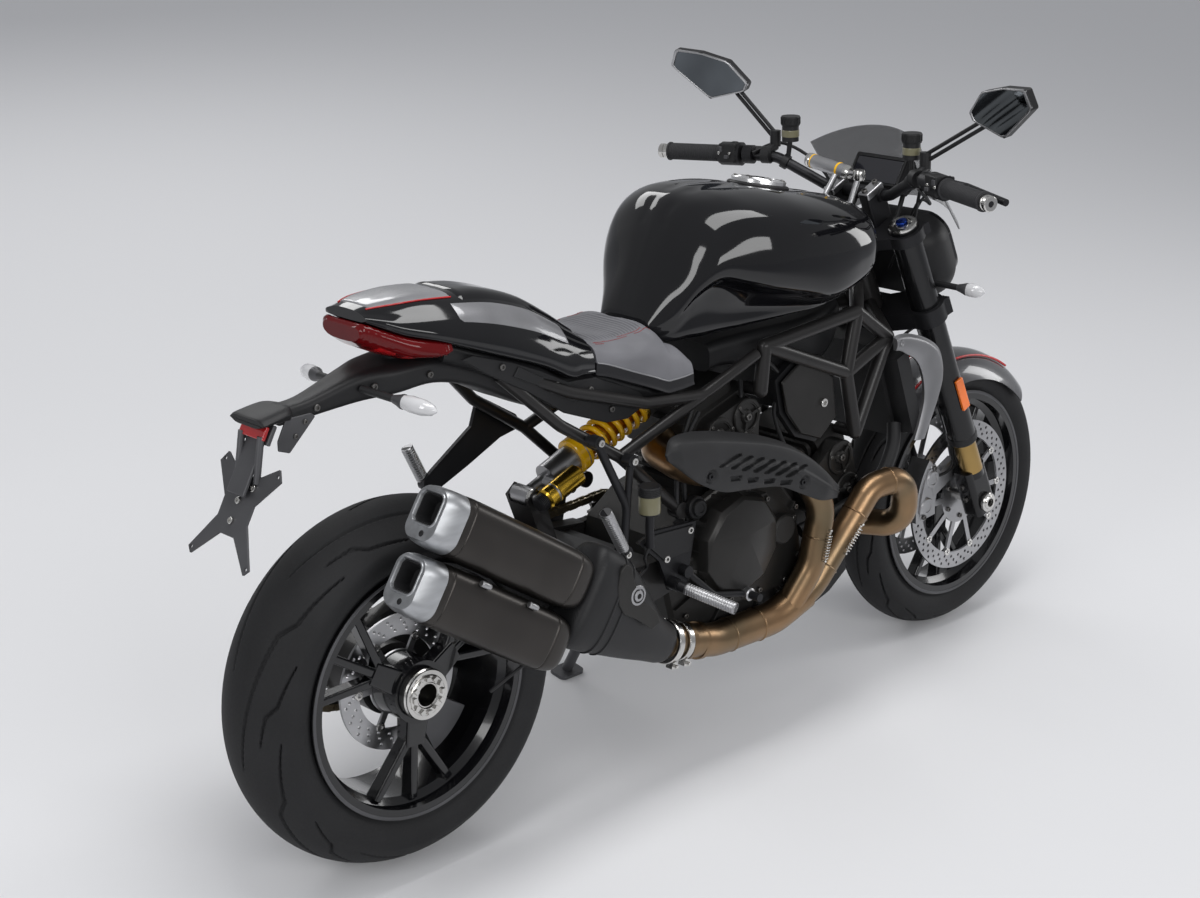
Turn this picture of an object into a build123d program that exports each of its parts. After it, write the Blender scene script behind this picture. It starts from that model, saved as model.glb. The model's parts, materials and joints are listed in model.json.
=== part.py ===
from build123d import *
import math
import os

os.makedirs("parts", exist_ok=True)

# A naked sport motorcycle, drawn upright: x forward from the rear axle, y to the rider's left and
# z up from the ground, in millimetres. The last section leans it onto its side stand.

# ---- Driving dimensions ----------------------------------------------------------------------
wheelbase = 1509
rake = 24.3
trail = 89
lean = 9.5
fit = 0.05
gap = 0.3

rear_tyre_radius = 325.9
rear_tyre_width = 200
rear_crown_radius = 108
rear_rim_width = 152.4
rear_hub_radius = 56
front_tyre_radius = 299.9
front_tyre_width = 120
front_crown_radius = 64
front_rim_width = 88.9
front_hub_radius = 34
rim_diameter = 431.8
flange_height = 12
flange_thickness = 7.5
carcass_thickness = 11
spoke_spread = 23

rear_axle_radius = 30
rear_axle_bore = 20.2
wheel_nut_radius = 44
wheel_nut_face = 98.5
rear_disc_radius = 122.5
rear_disc_place = -15
disc_thickness = 5
front_axle_radius = 12.5
front_axle_bore = 9
front_disc_radius = 165
front_disc_face = 64.6

fork_side = 116
fork_ahead = 45
fork_tube_radius = 30
stanchion_radius = 24
fork_foot_inset = 8
fork_foot_half = 20
fork_top = 1016
upper_clamp_level = 985
upper_clamp_thickness = 24
lower_clamp_level = 790
lower_clamp_thickness = 38
outer_tube_end = 485
head_tube_radius = 34
stem_radius = 20
clamp_front = 71
handlebar_radius = 11.1
handlebar_centre_radius = 14.3
grip_radius = 16.5

frame_tube_radius = 14
subframe_tube_radius = 11
subframe_side = 128
crank_x = 800
crank_z = 400
cylinder_tilt = 17
cylinder_width = 156
crankcase_half_width = 118
clutch_x = 689
clutch_z = 435
clutch_radius = 100
clutch_face = 188
pivot_x = 589
pivot_z = 408
pivot_radius = 17
pivot_boss_radius = 30
arm_inner_face = 108
arm_outer_face = 142
hub_carrier_radius = 64
chain_line = 158
sprocket_radius = 101
front_sprocket_x = 655
front_sprocket_z = 425
front_sprocket_radius = 38

header_radius = 27
main_pipe_radius = 32
silencer_height = 106
silencer_width = 92
silencer_side = -192

tank_half_width = 205
cap_x = 925
cap_z = 1052
cap_radius = 53
cap_thickness = 9
neck_radius = 24
neck_depth = 70

stand_pivot = (640, 144, 262)
stand_foot_x = 655
stand_foot_y = 276
stand_tube_radius = 11
plate_hole_radius = 3.5

# ---- Derived places --------------------------------------------------------------------------
sin_rake = math.sin(math.radians(rake))
cos_rake = math.cos(math.radians(rake))
sin_lean = math.sin(math.radians(lean))
cos_lean = math.cos(math.radians(lean))
steer_ground_x = wheelbase + trail
steer_up = (-sin_rake, 0, cos_rake)
steer_forward = (cos_rake, 0, sin_rake)
world_up = (0, -sin_lean, cos_lean)
rise = rear_crown_radius * (1 - cos_lean)
bead_radius = rim_diameter / 2
flange_radius = bead_radius + flange_height
rear_axle = (0, 0, rear_tyre_radius)
front_axle = (wheelbase, 0, front_tyre_radius)
front_axle_along = -sin_rake * (wheelbase - steer_ground_x) + cos_rake * front_tyre_radius
front_axle_ahead = cos_rake * (wheelbase - steer_ground_x) + sin_rake * front_tyre_radius
front_axle_half = fork_side - fork_foot_inset + fork_foot_half + 4 + gap
pieces = []


# ---- Helpers ---------------------------------------------------------------------------------
def steer_point(along, ahead, side=0):
    """A place given along the steering axis, ahead of it and to the left of it."""
    x = steer_ground_x - sin_rake * along + cos_rake * ahead
    return (x, side, cos_rake * along + sin_rake * ahead)


def steer_plane(along):
    """The plane square to the steering axis, its x forward and its y to the left."""
    return Plane(origin=steer_point(along, 0), x_dir=steer_forward, z_dir=steer_up)


def side_plane(y):
    """The side view plane at y, its x forward and its y up, facing the right-hand side."""
    return Plane.XZ.offset(-y)


def floor_height(y):
    """The floor's height under the upright motorcycle at y, once it leans on its stand."""
    return (y * sin_lean - rise) / cos_lean


def mirrored(points):
    """The same places on the other side of the middle plane."""
    return [(x, -y, z) for x, y, z in points]


def tube(route, radius, bend=0, mode=Mode.ADD):
    """A round bar along a route, with rounded corners where a bend is given."""
    with BuildLine() as line:
        if bend and len(route) > 2:
            FilletPolyline(*route, radius=bend)
        else:
            Polyline(*route)
    with BuildSketch(Plane(origin=line.line @ 0, z_dir=line.line % 0)) as ring:
        Circle(radius)
    sweep(ring.sketch, path=line.line, mode=mode)


def barrel(centre, radius, length, direction=(0, 1, 0), mode=Mode.ADD):
    """A cylinder centred on a point, along a direction."""
    with Locations(Plane(origin=centre, z_dir=direction)):
        Cylinder(radius, length, mode=mode)


def rod(start, end, radius, mode=Mode.ADD):
    """A straight cylinder from one point to another."""
    with Locations(Plane(origin=start, z_dir=Vector(*end) - Vector(*start))):
        length = (Vector(*end) - Vector(*start)).length
        Cylinder(radius, length, align=(Align.CENTER, Align.CENTER, Align.MIN), mode=mode)


def slab(y, outline, thickness, mode=Mode.ADD):
    """A flat plate in the side view, its far face at y and its thickness towards the right."""
    with BuildSketch(side_plane(y)) as shape:
        with BuildLine():
            Polyline(*outline, close=True)
        make_face()
    extrude(shape.sketch, amount=thickness, mode=mode)


def cross_loft(stations):
    """A body lofted through rounded cross-sections, each (x, y, half width, low, high, corner)."""
    sections = []
    for x, y, half_width, low, high, corner in stations:
        with BuildSketch(Plane(origin=(x, y, (low + high) / 2), x_dir=(0, 1, 0), z_dir=(1, 0, 0))) as cut:
            RectangleRounded(2 * half_width, high - low, corner)
        sections.append(cut.sketch)
    loft(sections)


def finish(builder, label):
    """Label a finished piece and keep it for the last section."""
    builder.part.label = label
    pieces.append(builder.part)


# ---- Wheels ----------------------------------------------------------------------------------
def tyre_profile(radius, width, crown, rim_width):
    """The tyre's hollow section, drawn as lateral place and radius."""
    crown_angle = math.radians(56)
    shoulder = (crown * math.sin(crown_angle), radius - crown * (1 - math.cos(crown_angle)))
    bead = rim_width / 2 - gap
    low = bead_radius + gap
    lip = flange_radius + 1.5
    bulge = (width / 2, (shoulder[1] + lip) / 2)
    inside = radius - carcass_thickness
    with BuildLine() as section:
        ThreePointArc((-shoulder[0], shoulder[1]), (0, radius), shoulder)
        ThreePointArc(shoulder, bulge, (bead, lip))
        Line((bead, lip), (bead, low))
        Line((bead, low), (bead - 15, low))
        ThreePointArc((bead - 15, low), (0, inside), (15 - bead, low))
        Line((15 - bead, low), (-bead, low))
        Line((-bead, low), (-bead, lip))
        ThreePointArc((-bead, lip), (-bulge[0], bulge[1]), (-shoulder[0], shoulder[1]))
    make_face(section.edges())


def rim_profile(rim_width):
    """The rim's drop-centre section, drawn as lateral place and radius."""
    bead = rim_width / 2
    edge = bead + flange_thickness
    well = bead_radius - 12
    wall = 7
    outline = [
        (bead, flange_radius),
        (bead, bead_radius),
        (bead - 17, bead_radius),
        (bead - 27, well),
        (27 - bead, well),
        (17 - bead, bead_radius),
        (-bead, bead_radius),
        (-bead, flange_radius),
        (-edge, flange_radius),
        (-edge, bead_radius - wall),
        (15 - bead, bead_radius - wall),
        (25 - bead, well - wall),
        (bead - 25, well - wall),
        (bead - 15, bead_radius - wall),
        (edge, bead_radius - wall),
        (edge, flange_radius),
    ]
    with BuildLine() as section:
        Polyline(*outline, close=True)
    make_face(section.edges())


def wheel_plane(axle):
    """The half plane through an axle that a wheel's section is drawn in."""
    return Plane(origin=axle, x_dir=(0, 1, 0), z_dir=(1, 0, 0))


def spokes(axle, hub_radius, root_place, root_depth, tip_place, tip_depth, first_arm):
    """Three arms, each forking into three legs that reach the rim."""
    reach = bead_radius - 14
    fork_radius = 0.5 * reach
    fork_place = root_place + (tip_place - root_place) * 0.5
    for arm in range(3):
        middle = first_arm + arm * 120
        bar(axle, (hub_radius - 8, middle, root_place, root_depth, 46),
            (fork_radius, middle, fork_place, root_depth - 4, 40))
        for spread in (-spoke_spread, 0, spoke_spread):
            bar(axle, (fork_radius - 14, middle + spread * 0.25, fork_place, root_depth - 8, 16),
                (reach, middle + spread, tip_place, tip_depth, 15))


def bar(axle, start, end):
    """A tapered bar in a wheel, each end (radius, angle, lateral place, depth, breadth)."""
    ends = []
    for radius, angle, place, depth, breadth in (start, end):
        turn = math.radians(angle)
        ends.append((Vector(math.cos(turn) * radius, place, math.sin(turn) * radius) + Vector(*axle),
                     depth, breadth))
    along = (ends[1][0] - ends[0][0]).normalized()
    cuts = []
    for centre, depth, breadth in ends:
        with BuildSketch(Plane(origin=centre, x_dir=(0, 1, 0), z_dir=along)) as cut:
            RectangleRounded(depth, breadth, 4)
        cuts.append(cut.sketch)
    loft(cuts)


with BuildPart() as rear_tyre:
    with BuildSketch(wheel_plane(rear_axle)):
        tyre_profile(rear_tyre_radius, rear_tyre_width, rear_crown_radius, rear_rim_width)
    revolve(axis=Axis(rear_axle, (0, 1, 0)))
finish(rear_tyre, "rear_tyre")

with BuildPart() as front_tyre:
    with BuildSketch(wheel_plane(front_axle)):
        tyre_profile(front_tyre_radius, front_tyre_width, front_crown_radius, front_rim_width)
    revolve(axis=Axis(front_axle, (0, 1, 0)))
finish(front_tyre, "front_tyre")

rear_hub_right = -wheel_nut_face + 17
rear_hub_left = rear_disc_place - disc_thickness / 2 - gap
with BuildPart() as rear_rim:
    with BuildSketch(wheel_plane(rear_axle)):
        rim_profile(rear_rim_width)
    revolve(axis=Axis(rear_axle, (0, 1, 0)))
    spokes(rear_axle, rear_hub_radius, -58, 34, -48, 30, 27)
    hub_length = rear_hub_left - rear_hub_right
    hub_centre = (0, (rear_hub_left + rear_hub_right) / 2, rear_tyre_radius)
    barrel(hub_centre, rear_hub_radius, hub_length)
    barrel(hub_centre, rear_axle_radius + fit, hub_length + 2, mode=Mode.SUBTRACT)
finish(rear_rim, "rear_rim")

front_hub_half = front_disc_face - disc_thickness - gap
with BuildPart() as front_rim:
    with BuildSketch(wheel_plane(front_axle)):
        rim_profile(front_rim_width)
    revolve(axis=Axis(front_axle, (0, 1, 0)))
    spokes(front_axle, front_hub_radius, 0, 32, 0, 26, 30)
    barrel(front_axle, front_hub_radius, 2 * front_hub_half)
    barrel(front_axle, front_axle_radius + fit, 2 * front_hub_half + 2, mode=Mode.SUBTRACT)
finish(front_rim, "front_rim")


def brake_disc(axle, place, outer, inner, bell, bore, arms, holes):
    """A drilled braking band on a spider, centred at a lateral place."""
    plane = side_plane(place + disc_thickness / 2)
    x, _, z = axle
    with BuildSketch(plane) as band:
        with Locations((x, z)):
            Circle(outer)
            Circle(inner, mode=Mode.SUBTRACT)
    extrude(band.sketch, amount=disc_thickness)
    with BuildSketch(plane) as spider:
        with Locations((x, z)):
            Circle(bell)
            with PolarLocations((inner + bell) / 2, arms):
                Rectangle(inner - bell + 12, 12)
            Circle(bore, mode=Mode.SUBTRACT)
    extrude(spider.sketch, amount=disc_thickness)
    with BuildSketch(plane) as drillings:
        for ring, turn in ((0.28, 0), (0.52, 4), (0.76, 8)):
            with Locations((x, z)):
                with PolarLocations(inner + (outer - inner) * ring, holes, start_angle=turn):
                    Circle(3.2)
    extrude(drillings.sketch, amount=disc_thickness, mode=Mode.SUBTRACT)


with BuildPart() as rear_disc:
    brake_disc(rear_axle, rear_disc_place, rear_disc_radius, 84, 58, rear_axle_radius + fit, 6, 24)
finish(rear_disc, "rear_disc")

with BuildPart() as front_discs:
    for side in (-1, 1):
        place = side * (front_disc_face - disc_thickness / 2)
        brake_disc(front_axle, place, front_disc_radius, 130, 62, front_axle_radius + fit, 10, 36)
finish(front_discs, "front_discs")

sprocket_place = chain_line
with BuildPart() as rear_sprocket:
    with BuildSketch(side_plane(sprocket_place + 3)) as sprocket_face:
        with Locations((0, rear_tyre_radius)):
            Circle(sprocket_radius - 6)
            with PolarLocations(68, 6):
                Circle(17, mode=Mode.SUBTRACT)
            Circle(rear_axle_radius + fit, mode=Mode.SUBTRACT)
    extrude(sprocket_face.sketch, amount=6)
finish(rear_sprocket, "rear_sprocket")

axle_right = -wheel_nut_face
axle_left = sprocket_place + 22
with BuildPart() as rear_spindle:
    barrel((0, (axle_left + axle_right) / 2, rear_tyre_radius), rear_axle_radius, axle_left - axle_right)
    nut_depth = rear_hub_right - axle_right - gap
    barrel((0, axle_right + nut_depth / 2, rear_tyre_radius), wheel_nut_radius, nut_depth)
    barrel((0, sprocket_place + 3 + gap + 8, rear_tyre_radius), wheel_nut_radius, 16)
    bore_length = axle_left - axle_right + 2
    barrel((0, (axle_left + axle_right) / 2, rear_tyre_radius), rear_axle_bore, bore_length, mode=Mode.SUBTRACT)
finish(rear_spindle, "rear_spindle")

with BuildPart() as front_spindle:
    barrel(front_axle, front_axle_radius, 2 * front_axle_half)
    for side in (-1, 1):
        barrel((wheelbase, side * (front_axle_half + 4), front_tyre_radius), 17, 8)
    barrel(front_axle, front_axle_bore, 2 * front_axle_half + 20, mode=Mode.SUBTRACT)
finish(front_spindle, "front_spindle")

# ---- Fork and steering -----------------------------------------------------------------------
foot_top = 400
foot_low = front_axle_along - 26
with BuildPart() as fork_outer_tubes:
    for side in (-1, 1):
        rod(steer_point(outer_tube_end, fork_ahead, side * fork_side),
            steer_point(fork_top, fork_ahead, side * fork_side), fork_tube_radius)
        rod(steer_point(outer_tube_end - 1, fork_ahead, side * fork_side),
            steer_point(fork_top - 12, fork_ahead, side * fork_side),
            stanchion_radius + fit, mode=Mode.SUBTRACT)
finish(fork_outer_tubes, "fork_outer_tubes")

with BuildPart() as fork_inner_tubes:
    for side in (-1, 1):
        rod(steer_point(foot_top - 20, fork_ahead, side * fork_side),
            steer_point(outer_tube_end + 190, fork_ahead, side * fork_side), stanchion_radius)
        with BuildSketch(steer_plane(foot_low)) as foot:
            with Locations((fork_ahead, side * (fork_side - fork_foot_inset))):
                RectangleRounded(62, 2 * fork_foot_half + 8, 12)
        extrude(foot.sketch, amount=foot_top - foot_low)
    barrel(front_axle, front_axle_radius + fit, 400, mode=Mode.SUBTRACT)
finish(fork_inner_tubes, "fork_inner_tubes")


bar_level = 1064
bar_bend = 45
bar_ahead = 70
bar_centre = steer_point(bar_level, bar_ahead)
bar_x = bar_centre[0]
bar_route = [
    (bar_x, 78, bar_centre[2]),
    (bar_x - 44, 180, 1052),
    (bar_x - 88, 276, 1054),
    (bar_x - 136, 424, 1049),
]
full_bar_route = mirrored(reversed(bar_route)) + bar_route
with BuildPart() as handlebar:
    tube(full_bar_route, handlebar_radius, bend=bar_bend)
    barrel(bar_centre, handlebar_centre_radius, 130)
finish(handlebar, "handlebar")

riser_low = upper_clamp_level + upper_clamp_thickness
with BuildPart() as triple_clamps:
    for level, thickness in ((lower_clamp_level, lower_clamp_thickness),
                             (upper_clamp_level, upper_clamp_thickness)):
        with BuildSketch(steer_plane(level)) as clamp:
            with BuildLine():
                Polyline((-30, -34), (18, -fork_side - 20), (fork_ahead + 36, -fork_side - 36),
                         (clamp_front, -70), (clamp_front, -50), (fork_ahead + 8, -22),
                         (fork_ahead + 8, 22), (clamp_front, 50), (clamp_front, 70),
                         (fork_ahead + 36, fork_side + 36), (18, fork_side + 20), (-30, 34), close=True)
            make_face()
            with Locations((0, 0)):
                Circle(36)
            for side in (-1, 1):
                with Locations((fork_ahead, side * fork_side)):
                    Circle(fork_tube_radius + 9)
                    Circle(fork_tube_radius + gap, mode=Mode.SUBTRACT)
        extrude(clamp.sketch, amount=thickness)
    rod(steer_point(lower_clamp_level, 0), steer_point(upper_clamp_level + 5, 0), stem_radius)
    for side in (-1, 1):
        with BuildSketch(steer_plane(riser_low - 1)) as riser:
            with Locations((bar_ahead - 12, side * 45)):
                RectangleRounded(54, 26, 6)
        extrude(riser.sketch, amount=bar_level - riser_low + 21)
    barrel(bar_centre, handlebar_centre_radius + fit, 180, mode=Mode.SUBTRACT)
finish(triple_clamps, "triple_clamps")

grip_start = Vector(*bar_route[2])
grip_way = (Vector(*bar_route[3]) - grip_start).normalized()
grip_length = 122


def on_bar(distance, side, lift=0, ahead=0):
    """A place along the outer straight of the handlebar, measured from its bend."""
    place = grip_start + grip_way * distance
    return (place.X + ahead, side * place.Y, place.Z + lift)


with BuildPart() as grips:
    for side in (-1, 1):
        rod(on_bar(14, side), on_bar(14 + grip_length, side), grip_radius)
        rod(on_bar(14 + grip_length + gap, side), on_bar(14 + grip_length + 20, side), 15)
    tube(full_bar_route, handlebar_radius + fit, bend=bar_bend, mode=Mode.SUBTRACT)
finish(grips, "grips")

with BuildPart() as bar_controls:
    for side in (-1, 1):
        rod(on_bar(-32, side), on_bar(12, side), 24)
        rod(on_bar(-58, side), on_bar(-38, side), 19)
        rod(on_bar(-48, side, 4, 12), on_bar(-22, side, -2, 52), 11)
        lever = [on_bar(-26, side, -2, 44), on_bar(10, side, -6, 66), on_bar(128, side, -14, 74)]
        tube(lever, 7, bend=20)
        rod(on_bar(-35, side, -6, 40), on_bar(-22, side, 0, 48), 12)
    tube(full_bar_route, handlebar_radius + fit, bend=bar_bend, mode=Mode.SUBTRACT)
finish(bar_controls, "bar_controls")

with BuildPart() as mirrors:
    for side in (-1, 1):
        face = Plane(origin=(bar_x - 44.4, side * 364.8, 1198.9), x_dir=(-0.2784, side * 0.9208, 0.273),
                     z_dir=(-0.9541, side * -0.2323, -0.1892))
        with BuildSketch(face) as head:
            with BuildLine() as rim:
                down = side
                Polyline((94, -28 * down), (35, -41 * down), (-31, -44 * down), (-85, -13 * down),
                         (-81, 5 * down), (-5, 50 * down), (98, 10 * down), close=True)
            make_face(rim.edges())
            fillet(head.vertices(), 6)
        extrude(head.sketch, amount=-16)
        stem_foot = (bar_x - 36, side * 193, 1072)
        stem_head = (bar_x - 18, side * 318, 1172)
        for drop in (-7, 7):
            rod((stem_foot[0], stem_foot[1], stem_foot[2] + 20 + drop),
                (stem_head[0], stem_head[1], stem_head[2] + drop), 4)
        rod(stem_foot, (stem_foot[0], stem_foot[1], stem_foot[2] + 32), 11)
        rod(on_bar(-96, side), on_bar(-78, side), 17)
        rod(on_bar(-87, side, 8, 2), stem_foot, 9)
    tube(full_bar_route, handlebar_radius + fit, bend=bar_bend, mode=Mode.SUBTRACT)
finish(mirrors, "mirrors")

bar_rise = (Vector(*bar_route[1]) - Vector(*bar_route[0])).normalized()
with BuildPart() as fluid_reservoirs:
    for side in (-1, 1):
        clamp_start = Vector(*bar_route[1]) - bar_rise * 26
        clamp_end = Vector(*bar_route[1]) - bar_rise * 13
        rod((clamp_start.X, side * clamp_start.Y, clamp_start.Z), (clamp_end.X, side * clamp_end.Y, clamp_end.Z), 15)
        cup_x = bar_x - 32
        rod((cup_x - 2, side * 160, 1050), (cup_x, side * 156, 1090), 5)
        rod((cup_x, side * 156, 1086), (cup_x, side * 156, 1134), 17)
        rod((cup_x, side * 156, 1120), (cup_x, side * 156, 1136), 19)
    tube(full_bar_route, handlebar_radius + fit, bend=bar_bend, mode=Mode.SUBTRACT)
finish(fluid_reservoirs, "fluid_reservoirs")

damper_left = Vector(bar_x - 41, 98, 1056)
damper_right = Vector(bar_x - 40, -6, 1042)
damper_eye = Vector(bar_x - 36, -30, 1040)
with BuildPart() as steering_damper:
    rod(damper_left, damper_right, 14)
    rod(damper_right, damper_eye, 5)
    rod(damper_eye - Vector(0, 0, 10), damper_eye + Vector(0, 0, 8), 8)
    for ahead, side, reach, spot in ((-12, -22, 40, damper_eye), (0, 20, 90, Vector(bar_x - 41, 20, 1045))):
        foot = steer_point(riser_low + gap, ahead, side)
        knee = steer_point(riser_low + reach, ahead, side)
        rod(foot, knee, 6)
        rod(knee, spot, 6)
        with Locations(knee):
            Sphere(6)
finish(steering_damper, "steering_damper")

panel_half = 66
with BuildPart() as instrument_panel:
    panel_x = bar_x + 76
    slab(panel_half, [(panel_x - 38, 1003), (panel_x, 1062), (panel_x + 18, 1052), (panel_x + 36, 1012),
                      (panel_x - 8, 985)], 2 * panel_half)
    fillet(instrument_panel.edges().filter_by(Axis.Y), 5)
    for side in (-1, 1):
        arm_foot = steer_point(riser_low - 12, clamp_front + gap, side * 60)
        arm_knee = steer_point(riser_low - 12, clamp_front + 22, side * 60)
        rod(arm_foot, arm_knee, 5)
        rod(arm_knee, (panel_x, side * 56, 1000), 5)
        with Locations(arm_knee):
            Sphere(5)
finish(instrument_panel, "instrument_panel")

lamp_centre_level = 880
with BuildPart() as headlamp:
    cuts = []
    for ahead, half, low, high, corner in ((92, 108, -76, 78, 40), (130, 122, -84, 84, 48),
                                           (176, 106, -72, 74, 46), (206, 66, -44, 46, 30)):
        where = Plane(origin=steer_point(lamp_centre_level + (low + high) / 2, ahead),
                      x_dir=(0, 1, 0), z_dir=steer_forward)
        with BuildSketch(where) as cut:
            RectangleRounded(2 * half, high - low, corner)
        cuts.append(cut.sketch)
    loft(cuts)
    for side in (-1, 1):
        rod(steer_point(812, clamp_front + gap, side * 60), steer_point(812, 104, side * 60), 9)
finish(headlamp, "headlamp")

screen_radius = 190
screen_thickness = 3
screen_height = 200
with BuildPart() as flyscreen:
    screen_plane = Plane(origin=(bar_x + 196, 0, 962), x_dir=(0.796, 0, 0.606), z_dir=(-0.606, 0, 0.796))
    with BuildSketch(screen_plane) as shell:
        with Locations((-screen_radius, 0)):
            Circle(screen_radius)
            Circle(screen_radius - screen_thickness, mode=Mode.SUBTRACT)
        with Locations((-screen_radius - 70, 0)):
            Rectangle(2 * screen_radius, 2 * screen_radius + 10, mode=Mode.SUBTRACT)
    extrude(shell.sketch, amount=screen_height)
    for side in (-1, 1):
        rod((panel_x + 34.9, side * 40, 1012), (panel_x + 78, side * 40, 1008), 5)
finish(flyscreen, "flyscreen")

guard_inner = front_tyre_radius + 9
guard_thickness = 4
guard_half = 74
with BuildPart() as front_mudguard:
    guard_start = math.radians(128)
    guard_way = (math.sin(guard_start), 0, -math.cos(guard_start))
    with BuildSketch(Plane(origin=front_axle, x_dir=(0, 1, 0), z_dir=guard_way)) as section:
        with BuildLine() as rim:
            ThreePointArc((-guard_half, guard_inner - 52), (0, guard_inner), (guard_half, guard_inner - 52))
            Line((guard_half, guard_inner - 52), (guard_half + guard_thickness, guard_inner - 52))
            ThreePointArc((guard_half + guard_thickness, guard_inner - 52), (0, guard_inner + guard_thickness),
                          (-guard_half - guard_thickness, guard_inner - 52))
            Line((-guard_half - guard_thickness, guard_inner - 52), (-guard_half, guard_inner - 52))
        make_face(rim.edges())
    revolve(section.sketch, axis=Axis(front_axle, (0, 1, 0)), revolution_arc=86)
    for side in (-1, 1):
        lug_out = fork_side - fork_foot_inset - fork_foot_half - 4 - gap
        with BuildSketch(steer_plane(foot_top - 60)) as lug:
            with Locations((fork_ahead + 12, side * (lug_out + guard_half + 1) / 2)):
                Rectangle(38, lug_out - guard_half - 1)
        extrude(lug.sketch, amount=230)
finish(front_mudguard, "front_mudguard")

caliper_half = 23
caliper_place = front_disc_face - disc_thickness / 2 - 2
with BuildPart() as front_calipers:
    for side in (-1, 1):
        with BuildSketch(side_plane(side * caliper_place + caliper_half)) as shape:
            with Locations((wheelbase, front_tyre_radius)):
                Circle(176)
                Circle(112, mode=Mode.SUBTRACT)
            cut_start = math.radians(140)
            cut_end = math.radians(186)
            with BuildLine() as wedge:
                Polyline((wheelbase, front_tyre_radius),
                         (wheelbase + 400 * math.cos(cut_start), front_tyre_radius + 400 * math.sin(cut_start)),
                         (wheelbase - 500, front_tyre_radius + 60),
                         (wheelbase + 400 * math.cos(cut_end), front_tyre_radius + 400 * math.sin(cut_end)),
                         close=True)
            make_face(wedge.edges(), mode=Mode.INTERSECT)
        extrude(shape.sketch, amount=2 * caliper_half)
        lug_out = fork_side - fork_foot_inset - fork_foot_half - 4 - gap
        lug_in = front_disc_face + 2.5
        with BuildSketch(steer_plane(front_axle_along + 74)) as lug:
            with Locations((-8, side * (lug_out + lug_in) / 2)):
                Rectangle(88, lug_out - lug_in)
        extrude(lug.sketch, amount=40)
        disc_middle = side * (front_disc_face - disc_thickness / 2)
        barrel((wheelbase, disc_middle, front_tyre_radius), front_disc_radius + 3, disc_thickness + 4,
               mode=Mode.SUBTRACT)
finish(front_calipers, "front_calipers")

with BuildPart() as front_indicators:
    for side in (-1, 1):
        root = steer_point(lower_clamp_level + 60, fork_ahead + 42, side * (fork_side + 6))
        tip = (root[0] + 22, side * 226, root[2] - 6)
        rod(root, (root[0] + 10, side * 186, root[2] - 3), 6)
        rod((root[0] + 10, side * 184, root[2] - 3), tip, 13)
        rod(steer_point(lower_clamp_level + 60, fork_ahead + fork_tube_radius + gap, side * (fork_side + 4)),
            steer_point(lower_clamp_level + 60, fork_ahead + 46, side * (fork_side + 4)), 9)
finish(front_indicators, "front_indicators")

# ---- Side stand geometry ---------------------------------------------------------------------
pivot = Vector(*stand_pivot)
foot_spot = Vector(stand_foot_x, stand_foot_y, floor_height(stand_foot_y))
down_way = (foot_spot + Vector(*world_up) * 8 - pivot).normalized()
stowed_way = Vector(-1, 0.16, 0.05).normalized()
across = down_way - stowed_way
stand_axis = (Vector(0, 1, 0) - across * (across.Y / across.dot(across))).normalized()
stand_pin_radius = 7

# ---- Engine ----------------------------------------------------------------------------------
tilt = math.radians(cylinder_tilt)
front_way = Vector(math.cos(tilt), 0, math.sin(tilt))
rear_way = Vector(-math.sin(tilt), 0, math.cos(tilt))
crank = Vector(crank_x, 0, crank_z)
barrel_start = 162
barrel_end = 228
head_end = 318


def cylinder_block(way, start, end, half_height, half_width, corner):
    """A rounded block along a cylinder's axis, between two distances from the crank."""
    with BuildSketch(Plane(origin=crank + way * start, x_dir=(0, 1, 0), z_dir=way)) as section:
        RectangleRounded(2 * half_width, 2 * half_height, corner)
    extrude(section.sketch, amount=end - start)


with BuildPart() as crankcase:
    case_outline = [(548, 372), (566, 300), (620, 236), (700, 206), (860, 212), (930, 262), (930, 372),
                    (908, 452), (850, 520), (748, 524), (640, 500), (568, 452)]
    slab(crankcase_half_width, case_outline, 2 * crankcase_half_width)
    chamfer(crankcase.edges().group_by(Axis.Y)[0], 8)
    chamfer(crankcase.edges().group_by(Axis.Y)[-1], 8)
    for way in (front_way, rear_way):
        cylinder_block(way, 60, barrel_start - gap, 88, 92, 14)
    barrel((pivot_x, 0, pivot_z), pivot_radius + fit, 400, mode=Mode.SUBTRACT)
    rod(pivot - stand_axis * 34, pivot - stand_axis * (9 + gap), 19)
    rod(pivot - stand_axis * 20, pivot + stand_axis * 15, stand_pin_radius)
    rod(pivot + stand_axis * (9 + gap), pivot + stand_axis * 15, 11)
finish(crankcase, "crankcase")

with BuildPart() as cylinders:
    for way in (front_way, rear_way):
        for fin in range(3):
            low = barrel_start + 8 + fin * 20
            cylinder_block(way, low, low + 8, 82, 86, 12)
        cylinder_block(way, barrel_start, barrel_end, 74, cylinder_width / 2, 14)
        cylinder_block(way, barrel_end, head_end - 22, 84, 96, 18)
        cylinder_block(way, head_end - 22, head_end, 66, 84, 24)
finish(cylinders, "cylinders")

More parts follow.
